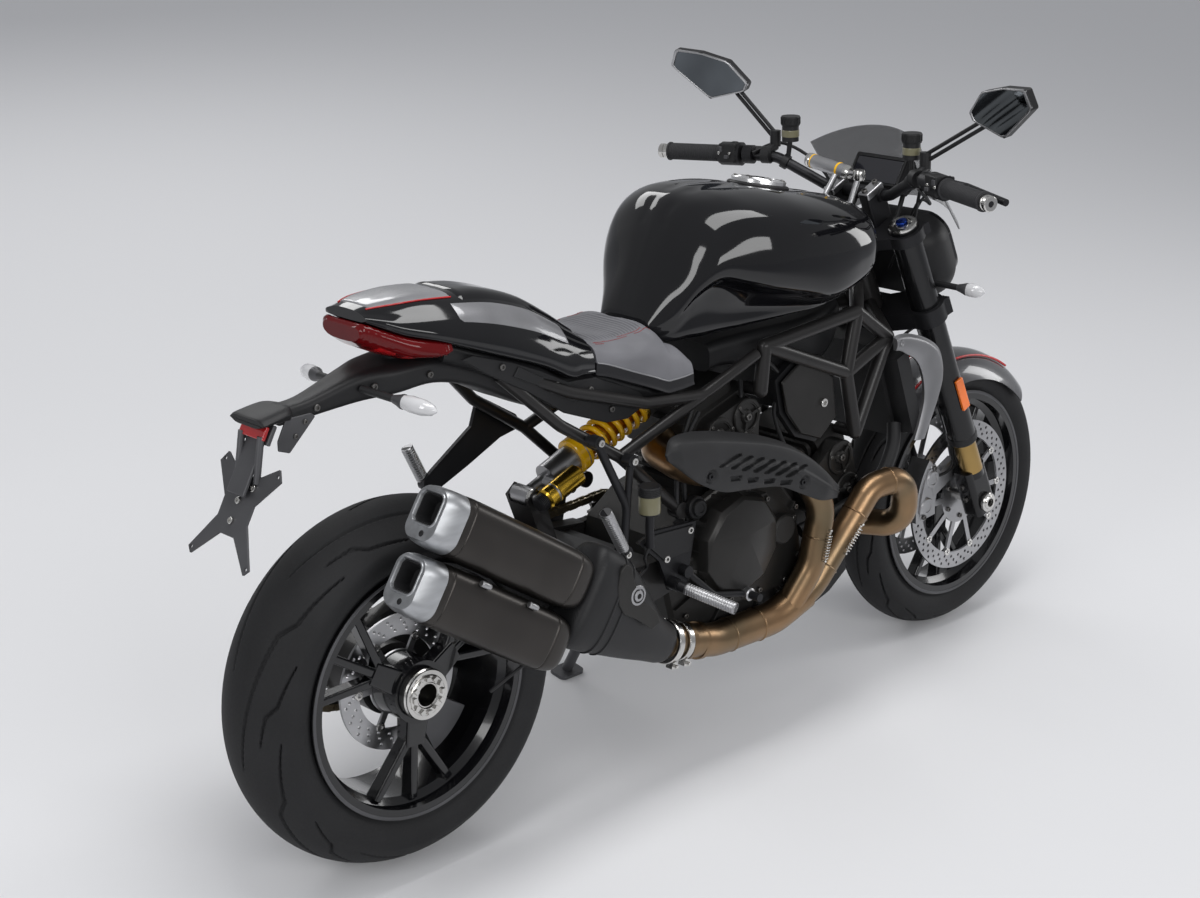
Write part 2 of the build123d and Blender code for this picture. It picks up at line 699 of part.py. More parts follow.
with BuildPart() as engine_covers:
    case_gap = crankcase_half_width + gap
    with BuildSketch(side_plane(-case_gap)) as clutch_base:
        with Locations((clutch_x, clutch_z)):
            RegularPolygon(clutch_radius, 10)
    extrude(clutch_base.sketch, amount=clutch_face - 22 - case_gap)
    with BuildSketch(side_plane(-(clutch_face - 22))) as clutch_lid:
        with Locations((clutch_x, clutch_z)):
            RegularPolygon(clutch_radius - 8, 10)
    extrude(clutch_lid.sketch, amount=22, taper=28)
    with BuildSketch(side_plane(-case_gap)) as side_case:
        with BuildLine():
            Polyline((620, 330), (700, 300), (860, 300), (900, 350), (880, 440), (800, 500), (640, 480), close=True)
        make_face()
    extrude(side_case.sketch, amount=24)
    barrel((crank_x, case_gap + 22, crank_z), 84, 44)
    barrel((crank_x, case_gap + 48, crank_z), 62, 10)
    slab(case_gap + 20, [(664, 320), (710, 262), (850, 268), (890, 350), (860, 450), (760, 490)], 20)
    barrel((pivot_x, 0, pivot_z), pivot_boss_radius + 2, 400, mode=Mode.SUBTRACT)
    front_sprocket_hole = front_sprocket_radius + 16
    barrel((front_sprocket_x, case_gap + 12, front_sprocket_z), front_sprocket_hole, 60, mode=Mode.SUBTRACT)
finish(engine_covers, "engine_covers")

belt_thickness = 28
pulley_offset = 38
belt_inner = 96 + gap
with BuildPart() as belt_covers:
    for way in (front_way, rear_way):
        across = way.cross(Vector(0, 1, 0))
        middle = crank + way * (head_end - 62)
        with BuildSketch(side_plane(-belt_inner)) as cover:
            for offset in (-pulley_offset, pulley_offset):
                spot = middle + across * offset
                with Locations((spot.X, spot.Z)):
                    Circle(pulley_offset - 2)
            spot = crank + way * (head_end - 130)
            with Locations((spot.X, spot.Z)):
                Circle(50)
            make_hull()
        extrude(cover.sketch, amount=belt_thickness)
        with BuildSketch(side_plane(-belt_inner - belt_thickness)) as window:
            for offset in (-pulley_offset, pulley_offset):
                spot = middle + across * offset
                with Locations((spot.X, spot.Z)):
                    Circle(pulley_offset - 6)
                    Circle(pulley_offset - 12, mode=Mode.SUBTRACT)
        extrude(window.sketch, amount=4)
finish(belt_covers, "belt_covers")

# ---- Frame -----------------------------------------------------------------------------------
head_low = steer_point(lower_clamp_level + lower_clamp_thickness + gap, 0)
head_high = steer_point(upper_clamp_level - gap, 0)
frame_side = 142
front_x = steer_ground_x - 448


def frame_spot(x, z, side, out=frame_side):
    """A joint of the frame's tubes on one side."""
    return (x, side * out, z)


with BuildPart() as main_frame:
    rod(head_low, head_high, head_tube_radius)
    for side in (-1, 1):
        head_top = steer_point(950, -6, side * 14)
        head_bottom = steer_point(850, -6, side * 14)
        upper_mid = frame_spot(1055, 806, side)
        upper_rear = frame_spot(800, 786, side, 134)
        lower_mid = frame_spot(front_x, 738, side)
        engine_front = frame_spot(1056, 562, side)
        engine_rear = frame_spot(790, 702, side, 134)
        mid = frame_spot(1026, 690, side)
        for start, end in ((head_top, upper_mid), (upper_mid, upper_rear), (head_bottom, lower_mid),
                           (lower_mid, engine_front), (upper_mid, mid), (mid, lower_mid),
                           (upper_rear, mid), (mid, engine_front), (upper_mid, lower_mid),
                           (upper_rear, engine_rear)):
            rod(start, end, frame_tube_radius)
        for spot in (upper_mid, upper_rear, lower_mid, mid, engine_front, engine_rear):
            with Locations(spot):
                Sphere(frame_tube_radius)
        for spot in (engine_front, engine_rear):
            rod((spot[0], side * (96 + gap), spot[2]), spot, 12)
    rod(steer_point(lower_clamp_level, 0), steer_point(upper_clamp_level + 5, 0), stem_radius + fit,
        mode=Mode.SUBTRACT)
finish(main_frame, "main_frame")

with BuildPart() as rear_subframe:
    for side in (-1, 1):
        rail = [(779, side * 133, 775.1), (640, side * subframe_side, 724), (500, side * 124, 738),
                (330, side * 112, 792), (170, side * 84, 868)]
        tube(rail, subframe_tube_radius, bend=60)
        strut = [(575, side * subframe_side, 520), (430, side * subframe_side, 655), (300, side * 116, 740),
                 (190, side * 88, 846)]
        tube(strut, subframe_tube_radius, bend=60)
        rod((640, side * subframe_side, 724), (430, side * subframe_side, 655), subframe_tube_radius)
        barrel((575, side * subframe_side, 520), 16, 24)
        rod((330, side * 60, 792), (330, side * 60, 809.6), 9)
    rod((330, -112, 792), (330, 112, 792), subframe_tube_radius)
finish(rear_subframe, "rear_subframe")

# ---- Swingarm and rear suspension ------------------------------------------------------------
with BuildPart() as swingarm:
    arm_thickness = arm_outer_face - arm_inner_face
    slab(arm_outer_face, [(560, 374), (560, 440), (470, 450), (330, 470), (160, 420), (60, 392),
                          (-62, 350), (-60, 300), (30, 262), (170, 262), (330, 292), (470, 344)],
         arm_thickness)
    slab(arm_inner_face - 0.5, [(372, 342), (372, 462), (470, 452), (490, 400), (470, 350)], 150)
    for side in (-1, 1):
        slab(side * 122 + 16, [(440, 350), (440, 440), (589, 437), (589, 379)], 32)
        barrel((pivot_x, side * 122, pivot_z), pivot_boss_radius, 32)
    slab(120, [(440, 350), (440, 440), (520, 436), (520, 366)], 240)
    slab(30, [(380, 440), (338, 574), (318, 600), (296, 582), (372, 380)], 60)
    slab(22 + gap, [(400, 470), (340, 640), (260, 600), (340, 540)], 44 + 2 * gap, mode=Mode.SUBTRACT)
    barrel((0, (arm_outer_face + 2) / 2, rear_tyre_radius), hub_carrier_radius, arm_outer_face - 2)
    barrel((0, 66, rear_tyre_radius), rear_axle_radius + fit, 200, mode=Mode.SUBTRACT)
    barrel((pivot_x, 0, pivot_z), pivot_radius + fit, 400, mode=Mode.SUBTRACT)
    case_room = crankcase_half_width + gap
    slab(case_room, [(x - 1, z) if x > 600 else (x - 6, z) for x, z in case_outline], 2 * case_room,
         mode=Mode.SUBTRACT)
finish(swingarm, "swingarm")

with BuildPart() as swingarm_pivot:
    barrel((pivot_x, 0, pivot_z), pivot_radius, 2 * 150)
    for side in (-1, 1):
        barrel((pivot_x, side * (138 + gap + 5), pivot_z), 20, 10)
finish(swingarm_pivot, "swingarm_pivot")

shock_front = Vector(632, 0, 700)
shock_rear = Vector(316, 0, 582)
shock_way = (shock_rear - shock_front).normalized()


def on_shock(distance):
    """A place along the shock absorber, measured from its front eye."""
    return tuple(shock_front + shock_way * distance)


shock_length = (shock_rear - shock_front).length
with BuildPart() as shock_absorber:
    rod(on_shock(14), on_shock(shock_length - 14), 12)
    rod(on_shock(14), on_shock(40), 31)
    rod(on_shock(210), on_shock(shock_length - 56), 26)
    rod(on_shock(196), on_shock(214), 34)
    for spot in (0, shock_length):
        barrel(on_shock(spot), 17, 44)
    rod((on_shock(250)[0], -50, on_shock(250)[2]), (on_shock(330)[0], -50, on_shock(330)[2]), 19)
    barrel((on_shock(290)[0], -30, on_shock(290)[2]), 12, 40)
finish(shock_absorber, "shock_absorber")

with BuildPart() as shock_spring:
    rod(on_shock(40 + gap), on_shock(196 - gap), 34)
    rod(on_shock(39), on_shock(197), 26, mode=Mode.SUBTRACT)
finish(shock_spring, "shock_spring")

# ---- Chain -----------------------------------------------------------------------------------
chain_rise = 7
chain_half = 8
with BuildPart() as drive_chain:
    with BuildSketch(side_plane(chain_line + chain_half)) as loop:
        with Locations((0, rear_tyre_radius)):
            Circle(sprocket_radius + chain_rise)
        with Locations((front_sprocket_x, front_sprocket_z)):
            Circle(front_sprocket_radius + chain_rise)
        make_hull()
    with BuildSketch(side_plane(chain_line + chain_half)) as inside:
        with Locations((0, rear_tyre_radius)):
            Circle(sprocket_radius - chain_rise + 1)
        with Locations((front_sprocket_x, front_sprocket_z)):
            Circle(front_sprocket_radius - chain_rise)
        make_hull()
    extrude(loop.sketch, amount=2 * chain_half)
    extrude(inside.sketch, amount=2 * chain_half, mode=Mode.SUBTRACT)
    barrel((0, chain_line, rear_tyre_radius), sprocket_radius - 5, 7, mode=Mode.SUBTRACT)
finish(drive_chain, "drive_chain")

# ---- Exhaust ---------------------------------------------------------------------------------
silencer_way = (0.836, 0, -0.548)
cap_length = 46
upper_end = Vector(-58, silencer_side, 690)
lower_end = Vector(-108, silencer_side, 588)


def on_silencer(end, distance):
    """A place along a silencer's axis, measured from its rear face."""
    return end + Vector(*silencer_way) * distance


def silencer_plane(end, distance):
    """The plane square to a silencer's axis at a distance from its rear face."""
    return Plane(origin=on_silencer(end, distance), x_dir=(0, 1, 0), z_dir=silencer_way)


with BuildPart() as exhaust_pipes:
    rear_out = rear_way.cross(Vector(0, 1, 0))
    front_out = front_way.cross(Vector(0, 1, 0)) * -1
    rear_port = crank + rear_way * 262 + rear_out * (84 + gap) + Vector(0, -30, 0)
    front_port = crank + front_way * 262 + front_out * (84 + gap) + Vector(0, -30, 0)
    rear_bend = rear_port + rear_out * 48
    front_bend = front_port + front_out * 52
    rear_header = [tuple(rear_port), tuple(rear_bend), (570, -186, 596), (700, -186, 592), (832, -186, 566),
                   (912, -186, 456), (886, -180, 336), (840, -168, 268)]
    tube(rear_header, header_radius, bend=[46, 60, 120, 90, 80, 90])
    front_header = [tuple(front_port), tuple(front_bend), (1160, -186, 352), (1152, -196, 462),
                    (1058, -182, 456), (905, -166, 284), (840, -160, 258)]
    tube(front_header, header_radius, bend=[50, 50, 50, 50, 120])
    main_route = [(880, -166, 278), (800, -160, 248), (640, -156, 250), (500, -158, 290)]
    tube(main_route, main_pipe_radius, bend=120)
    for spot in (0, 1):
        place = Vector(592 - spot * 34, -152.6 - spot * 1.6, 262 + spot * 10)
        rod(place, place + Vector(10, -0.5, -2), main_pipe_radius + 4)
finish(exhaust_pipes, "exhaust_pipes")

with BuildPart() as silencers:
    for end, length in ((upper_end, 380), (lower_end, 372)):
        sections = []
        for distance, shrink in ((cap_length + gap, 4), (cap_length + 60, 0), (length - 60, 0), (length, 16)):
            with BuildSketch(silencer_plane(end, distance)) as cut:
                RectangleRounded(silencer_width - shrink, silencer_height - shrink, 34)
            sections.append(cut.sketch)
        loft(sections)
    slab(silencer_side + 42, [(236, 574), (300, 538), (352, 470), (392, 372), (470, 332), (498, 320),
                              (478, 268), (360, 292), (226, 338), (150, 384)], 84)
    with BuildSketch(Plane(origin=(516, -157.3, 285.4), z_dir=(-0.961, -0.014, 0.275))) as inlet:
        Circle(main_pipe_radius + 7)
    extrude(inlet.sketch, amount=100)
    tube(main_route, main_pipe_radius + gap, bend=120, mode=Mode.SUBTRACT)
    barrel((368, silencer_side - 42, 442), 15, 12)
finish(silencers, "silencers")

with BuildPart() as silencer_caps:
    for end in (upper_end, lower_end):
        with BuildSketch(silencer_plane(end, 0)) as face:
            RectangleRounded(silencer_width - 18, silencer_height - 18, 26)
        with BuildSketch(silencer_plane(end, cap_length)) as back:
            RectangleRounded(silencer_width - 3, silencer_height - 3, 33)
        loft([face.sketch, back.sketch])
        with BuildSketch(silencer_plane(end, -1)) as outlet:
            with Locations((6, 14)):
                RectangleRounded(44, 40, 12)
            with Locations((-20, -26)):
                Circle(7)
        extrude(outlet.sketch, amount=cap_length - 8, mode=Mode.SUBTRACT)
finish(silencer_caps, "silencer_caps")

shield_inner = 186 + header_radius + gap
with BuildPart() as heat_shield:
    shield_outline = [(470, 676), (500, 694), (660, 660), (790, 620), (868, 566), (930, 496), (924, 470),
                      (886, 482), (824, 514), (750, 546), (620, 562), (560, 596)]
    slab(-shield_inner, shield_outline, 7)
    slab(-170, [(500, 694), (660, 660), (790, 620), (790, 614), (660, 654), (500, 688)], 48)
    for slot in range(7):
        x = 640 + slot * 33
        z = 640 - slot * 12
        slab(-shield_inner + 1, [(x, z), (x + 12, z - 4), (x - 10, z - 34), (x - 22, z - 30)], 12,
             mode=Mode.SUBTRACT)
finish(heat_shield, "heat_shield")

# ---- Cooling ---------------------------------------------------------------------------------
radiator_half = 122
tank_face = 166
with BuildPart() as radiator:
    slab(radiator_half, [(front_x - 14, 716), (front_x + 32, 734), (front_x + 96, 530), (front_x + 54, 514)],
         2 * radiator_half)
    for side in (-1, 1):
        middle = side * (radiator_half + tank_face) / 2
        slab(middle + (tank_face - radiator_half) / 2,
             [(front_x + 2, 694), (front_x + 36, 706), (front_x + 88, 540), (front_x + 60, 528)],
             tank_face - radiator_half)
    rod((front_x + 20, 0, 736), steer_point(848, -head_tube_radius - gap), 6)
finish(radiator, "radiator")

with BuildPart() as radiator_guards:
    for side in (-1, 1):
        slab(side * (tank_face + gap + 4) + 4,
             [(front_x - 10, 744), (front_x + 41, 738), (front_x + 134, 692), (front_x + 150, 628),
              (front_x + 90, 514), (front_x + 56, 516), (front_x + 86, 596), (front_x + 70, 668),
              (front_x + 26, 700), (front_x - 10, 716)], 8)
finish(radiator_guards, "radiator_guards")

with BuildPart() as belly_pan:
    slab(88, [(874.2, 221.7), (930.4, 261.8), (930.4, 294), (1060, 296), (1108, 288), (1112, 240), (1056, 204),
              (940, 172), (890, 178), (868, 200)], 176)
    chamfer(belly_pan.edges().group_by(Axis.Y)[0], 10)
    chamfer(belly_pan.edges().group_by(Axis.Y)[-1], 10)
finish(belly_pan, "belly_pan")

# ---- Tank, seat and tail ---------------------------------------------------------------------
cap_tilt = math.radians(12)
cap_up = (math.sin(cap_tilt), 0, math.cos(cap_tilt))
cap_plane = Plane(origin=(cap_x, 0, cap_z), x_dir=(math.cos(cap_tilt), 0, -math.sin(cap_tilt)), z_dir=cap_up)
pad_lift = 6
with BuildPart() as fuel_tank:
    cross_loft([(562, 0, 64, 822, 872, 20), (606, 0, 96, 816, 950, 36), (650, 0, 130, 816, 1034, 56),
                (724, 0, 176, 818, 1079, 84), (822, 0, tank_half_width - 3, 820, 1078, 100),
                (925, 0, tank_half_width, 828, 1055, 100), (1040, 0, 188, 850, 1031, 80),
                (1098, 0, 140, 884, 1010, 50), (1128, 0, 84, 905, 986, 30)])
    for side in (-1, 1):
        rod((860, side * 137, 806.2), (860, side * 137, 850), 10)
    with BuildSketch(cap_plane.offset(-30)) as pad:
        Circle(cap_radius + 7)
    extrude(pad.sketch, amount=30 + pad_lift)
    with BuildSketch(cap_plane.offset(pad_lift - neck_depth)) as neck:
        Circle(neck_radius)
    extrude(neck.sketch, amount=neck_depth + 1, mode=Mode.SUBTRACT)
finish(fuel_tank, "fuel_tank")

cap_low = pad_lift + gap
hinge_ahead = cap_radius + 3
with BuildPart() as filler_cap:
    with BuildSketch(cap_plane.offset(cap_low)) as disc:
        Circle(cap_radius)
    extrude(disc.sketch, amount=cap_thickness)
    with BuildSketch(cap_plane.offset(cap_low)) as ear:
        with Locations((hinge_ahead - 4, 0)):
            Rectangle(8, 22)
    extrude(ear.sketch, amount=cap_thickness)
    hinge_spot = cap_plane.from_local_coords((hinge_ahead, 0, cap_low + cap_thickness / 2))
    barrel(tuple(hinge_spot), cap_thickness / 2, 22)
    with BuildSketch(cap_plane.offset(cap_low + cap_thickness)) as ring:
        Circle(cap_radius - 8)
        Circle(cap_radius - 20, mode=Mode.SUBTRACT)
    extrude(ring.sketch, amount=1.5)
finish(filler_cap, "filler_cap")

with BuildPart() as airbox:
    cross_loft([(704, 0, 84, 744, 796, 16), (820, 0, 90, 732, 800, 20), (960, 0, 108, 706, 806, 20),
                (1070, 0, 84, 760, 820, 20)])
    for side in (-1, 1):
        slab(side * 116.2 + 7, [(842, 708), (900, 742), (960, 724), (1000, 690), (1012, 600), (960, 560),
                              (900, 584), (856, 640)], 14)
        barrel((934, side * 123, 648), 15, 6)
    slab(115, [(880, 730), (980, 730), (980, 640), (880, 640)], 230)
finish(airbox, "airbox")

with BuildPart() as rider_seat:
    cross_loft([(398, 0, 106, 806, 868, 26), (450, 0, 118, 790, 862, 30), (510, 0, 130, 762, 860, 36),
                (556, 0, 128, 744.2, 866, 36)])
    for side in (-1, 1):
        slab(side * 116 + 13, [(550, 745), (550, 836), (584, 826), (612, 786), (620, 745)], 26)
finish(rider_seat, "rider_seat")

with BuildPart() as tail_cowl:
    cross_loft([(392, 0, 108, 808, 896, 30), (330, 0, 118, 814, 926, 40), (270, 0, 122, 846, 962, 40),
                (200, 0, 120, 874, 986, 38), (140, 0, 116, 898, 996, 36), (60, 0, 106, 930, 1004, 30),
                (-20, 0, 84, 958, 1002, 18), (-55, 0, 54, 976, 996, 8)])
finish(tail_cowl, "tail_cowl")

with BuildPart() as tail_light:
    cross_loft([(70, 0, 104, 904, 925.6, 8), (20, 0, 98, 906, 938, 12), (-40, 0, 78, 920, 956, 14),
                (-92, 0, 50, 946, 970, 10)])
finish(tail_light, "tail_light")

with BuildPart() as undertray:
    cross_loft([(318.6, 0, 84, 752, 790, 12), (250, 0, 74, 780, 822, 14), (160, 0, 64, 826, 866, 14),
                (76, 0, 66, 850, 894, 16), (0, 0, 58, 846, 894, 16), (-60, 0, 34, 844, 890, 14),
                (-150, 0, 22, 838, 862, 8), (-236, 0, 22, 838, 858, 8)])
    hood = [(-304, 814), (-240, 834), (-214, 852), (-214, 864), (-240, 868), (-308, 828)]
    slab(70, hood, 140)
    rod((40, 0, 880), (40, 0, 903.6), 20)
finish(undertray, "undertray")

plate_down = (-0.489, 0, -0.872)
plate_out = (-0.872, 0, 0.489)
plate_centre = (-288, 0, 712)
plate_thickness = 4
with BuildPart() as plate_carrier:
    plate_face = Plane(origin=plate_centre, x_dir=(0, -1, 0), z_dir=plate_out)
    with BuildSketch(plate_face) as cross:
        with BuildLine():
            Polyline((-83, 62), (-70, 80), (-28, 56), (28, 56), (70, 80), (83, 62), (40, 12), (40, -20),
                     (84, -84), (74, -94), (20, -46), (-20, -46), (-74, -94), (-84, -84), (-40, -20),
                     (-40, 12), close=True)
        make_face()
        with Locations((-72, 68), (72, 68), (-76, -84), (76, -84)):
            Circle(plate_hole_radius, mode=Mode.SUBTRACT)
    extrude(cross.sketch, amount=-plate_thickness)
    for side in (-26, 26):
        rod((-264, side, 752), (-250.4, side, 827), 6)
finish(plate_carrier, "plate_carrier")

with BuildPart() as rear_indicators:
    for side in (-1, 1):
        rod((-60.8, side * 39.6, 867.8), (-40, side * 112, 858), 8)
        rod((-40, side * 110, 858), (-19, side * 181, 849), 14)
finish(rear_indicators, "rear_indicators")

# ---- Feet, brakes and stand ------------------------------------------------------------------
right_plate = -162
left_plate = 182
with BuildPart() as rider_footrests:
    for side, face in ((-1, right_plate), (1, left_plate)):
        slab(face + 4, [(436, 500), (476, 512), (584, 505), (556, 376), (514, 388), (488, 452)], 8)
        peg_root = face + side * 4
        rod((518, face, 404), (518, peg_root + side * 22, 402), 12)
        rod((518, peg_root + side * 20, 402), (556, side * 292, 376), 10)
        mount_face = side * (subframe_side + subframe_tube_radius + gap)
        rod((560, mount_face, 500), (560, face, 500), 9)
finish(rider_footrests, "rider_footrests")

hanger_side = 154
rear_bolt = (350, 707)
front_bolt = (430, 655)
hanger_joint = (410, -hanger_side, 486)
with BuildPart() as passenger_footrests:
    for side in (-1, 1):
        for (x, z), inner in ((rear_bolt, 132.6), (front_bolt, subframe_side + subframe_tube_radius + gap)):
            barrel((x, side * (inner + hanger_side) / 2, z), 8, hanger_side - inner)
    tube([(rear_bolt[0], -hanger_side, rear_bolt[1]), (420, -hanger_side, 572), hanger_joint], 8, bend=40)
    rod((front_bolt[0], -hanger_side - 1, front_bolt[1]), (416, -hanger_side - 1, 540), 7)
    for x, z in (rear_bolt, front_bolt):
        barrel((x, -hanger_side, z), 12, 19)
    barrel(hanger_joint, 15, 20)
    rod((404, -164, 492), (348, -176, 584), 10)
    slab(hanger_side + 4, [(444, 650), (430, 676), (356, 722), (336, 716), (322, 676), (230, 616), (208, 600),
                           (206, 578), (226, 570), (310, 604), (390, 640)], 8)
    barrel((220, hanger_side + 6, 590), 13, 18)
    rod((218, 164, 592), (190, 174, 662), 10)
finish(passenger_footrests, "passenger_footrests")

with BuildPart() as foot_controls:
    for side, face, toe in ((-1, right_plate, 340), (1, left_plate, 360)):
        plate_face = face + side * (4 + gap)
        root = (546, plate_face + side * 9, 420)
        tube([root, (610, face + side * 24, toe + 18), (690, face + side * 34, toe)], 6, bend=30)
        rod((690, face + side * 26, toe), (690, face + side * 66, toe), 8)
        rod((546, plate_face, 420), (546, plate_face + side * 18, 420), 11)
    cup_y = right_plate - 4 - gap - 8
    rod((457, cup_y, 490), (457, cup_y, 556), 8)
    rod((457, cup_y, 553), (457, cup_y, 604), 19)
finish(foot_controls, "foot_controls")

with BuildPart() as rear_caliper:
    for place, depth, inner, outer in ((rear_disc_place + 27, 42, 92, 160), (14, 11, hub_carrier_radius + gap, 120)):
        with BuildSketch(side_plane(place)) as shape:
            with Locations((0, rear_tyre_radius)):
                Circle(outer)
                Circle(inner, mode=Mode.SUBTRACT)
            with BuildLine() as wedge:
                Polyline((0, rear_tyre_radius), (300, rear_tyre_radius - 190), (180, rear_tyre_radius - 420),
                         close=True)
            make_face(wedge.edges(), mode=Mode.INTERSECT)
        extrude(shape.sketch, amount=depth)
    barrel((0, rear_disc_place, rear_tyre_radius), rear_disc_radius + 3, disc_thickness + 4, mode=Mode.SUBTRACT)
finish(rear_caliper, "rear_caliper")

with BuildPart() as side_stand:
    rod(pivot + down_way * 21, foot_spot + Vector(*world_up) * 10, stand_tube_radius)
    barrel(pivot, 19, 18, stand_axis)
    with BuildSketch(Plane(origin=foot_spot, x_dir=(1, 0, 0), z_dir=world_up)) as sole:
        RectangleRounded(62, 46, 12)
    extrude(sole.sketch, amount=7)
    barrel(pivot, stand_pin_radius + fit, 60, stand_axis, mode=Mode.SUBTRACT)
finish(side_stand, "side_stand")


# ---- Park it on its stand --------------------------------------------------------------------
leaned = Location((0, 0, rise)) * Location((0, 0, 0), (-lean, 0, 0))
parked = [piece.moved(leaned) for piece in pieces]
bounds = Compound(parked).bounding_box()
to_origin = Location((-bounds.center().X, -bounds.center().Y, 0))
park = to_origin * leaned
for piece in pieces:
    placed = piece.moved(park)
    placed.label = piece.label
    export_step(placed, f"parts/{piece.label}.step")
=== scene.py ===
import json
from math import acos, atan2, copysign, cos, degrees, hypot, pi, radians, sin

import bmesh
import bpy
import numpy as np
from mathutils import Matrix, Vector


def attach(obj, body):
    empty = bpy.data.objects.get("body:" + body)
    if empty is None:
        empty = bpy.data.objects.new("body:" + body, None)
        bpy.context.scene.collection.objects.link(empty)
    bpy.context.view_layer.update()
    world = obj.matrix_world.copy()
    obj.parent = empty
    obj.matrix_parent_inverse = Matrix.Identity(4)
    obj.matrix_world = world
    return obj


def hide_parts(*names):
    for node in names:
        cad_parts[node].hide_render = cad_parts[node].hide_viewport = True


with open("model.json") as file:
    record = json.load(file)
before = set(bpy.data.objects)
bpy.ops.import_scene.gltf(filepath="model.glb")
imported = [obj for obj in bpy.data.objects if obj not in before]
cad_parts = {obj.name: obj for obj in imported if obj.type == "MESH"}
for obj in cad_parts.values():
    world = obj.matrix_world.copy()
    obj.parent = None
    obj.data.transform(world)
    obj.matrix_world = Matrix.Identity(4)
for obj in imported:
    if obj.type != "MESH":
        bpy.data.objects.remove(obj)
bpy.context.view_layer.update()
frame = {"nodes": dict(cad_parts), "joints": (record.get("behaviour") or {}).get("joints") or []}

nodes = frame["nodes"]
scene = bpy.context.scene

# The motorcycle's own upright frame, in mm: x forward from the rear axle, y left, z up.
rearJoint = next(joint for joint in frame["joints"] if joint["name"] == "rear_wheel_spin")
leanAngle = atan2(-rearJoint["axis"][2], rearJoint["axis"][1])
lean = Matrix.Rotation(-leanAngle, 4, "X")
rearRadius, frontRadius = 325.9, 299.9
frontX = 1509  # the front axle, ahead of the rear one
bikeToRow = (Matrix.Translation(rearJoint["pos_m"]) @ lean @ Matrix.Translation((0, 0, -rearRadius / 1000))
             @ Matrix.Scale(0.001, 4))
left, right = Vector((0, 1, 0)), Vector((0, -1, 0))
centre = (0, 0, 0)
upright = (0, 0, 1)


def row(point):
    return bikeToRow @ Vector(point)


def addObject(name, data):
    made = bpy.data.objects.new(name, data)
    scene.collection.objects.link(made)
    return made


def linkAll(tree, *pairs):  # each pair: output, input
    for output, socket in pairs:
        tree.links.new(output, socket)


def addNode(tree, kind, **inputs):
    node = tree.nodes.new(kind)
    for key, value in inputs.items():
        node.inputs[key].default_value = value
    return node


# ---- camera, floor and light
cameraSpot = {
    "place": (-2033.0, -2713.6, 1826.1), "yaw": 46.95, "pitch": -17.93, "roll": -1.013,
    "focal": 2124.83, "width": 1200, "sensor": 36.0, "reach": 100,
}


def makeCamera(spot):
    yaw, pitch, roll = (radians(spot[key]) for key in ("yaw", "pitch", "roll"))
    forward = Vector((cos(pitch) * cos(yaw), cos(pitch) * sin(yaw), sin(pitch)))
    level = forward.cross(Vector(upright)).normalized()
    rise = level.cross(forward)
    across = level * cos(roll) + rise * sin(roll)
    up = rise * cos(roll) - level * sin(roll)
    data = bpy.data.cameras.new("photoCamera")
    data.sensor_width = spot["sensor"]
    data.lens = spot["focal"] / spot["width"] * spot["sensor"]
    data.clip_end = spot["reach"]
    camera = addObject("photoCamera", data)
    turn = Matrix((across, up, -forward)).transposed().to_4x4()
    camera.matrix_world = Matrix.Translation(row(spot["place"])) @ lean @ turn
    scene.camera = camera


def makeFloor(look):
    mesh = bpy.data.meshes.new("studioFloor")
    half = look["half"]
    mesh.from_pydata([(-half, -half, 0), (half, -half, 0), (half, half, 0), (-half, half, 0)], [], [(0, 1, 2, 3)])
    material = bpy.data.materials.new("paleFloor")
    material.use_nodes = True
    shader = material.node_tree.nodes["Principled BSDF"]
    shader.inputs["Base Color"].default_value = (*look["colour"], 1)
    shader.inputs["Roughness"].default_value = look["roughness"]
    mesh.materials.append(material)
    floor = addObject("studioFloor", mesh)


def makeWorld(look):  # a soft fill light; camera, glossy and transmission rays see another shade
    world = bpy.data.worlds.new("studio")
    scene.world = world
    world.use_nodes = True
    tree = world.node_tree
    fill = tree.nodes["Background"]
    fill.inputs["Color"].default_value = (*look["fill"], 1)
    fill.inputs["Strength"].default_value = look["fillStrength"]
    seen = addNode(tree, "ShaderNodeBackground", Color=(*look["seen"], 1))
    path = tree.nodes.new("ShaderNodeLightPath")
    mix = tree.nodes.new("ShaderNodeMixShader")
    rays = path.outputs["Is Camera Ray"]
    for kind in ("Is Glossy Ray", "Is Transmission Ray"):
        either = tree.nodes.new("ShaderNodeMath")
        either.operation = "MAXIMUM"
        linkAll(tree, (rays, either.inputs[0]), (path.outputs[kind], either.inputs[1]))
        rays = either.outputs[0]
    linkAll(tree, *zip((rays, fill.outputs[0], seen.outputs[0]), mix.inputs),
            (mix.outputs[0], tree.nodes["World Output"].inputs["Surface"]))


def makeLamp(name, place, target, size, power):
    data = bpy.data.lights.new(name, "AREA")
    data.shape = "RECTANGLE"
    data.size, data.size_y = size
    data.energy = power
    place, target = Vector(place), Vector(target)
    facing = (target - place).to_track_quat("-Z", "Y").to_matrix().to_4x4()
    addObject(name, data).matrix_world = Matrix.Translation(place) @ facing


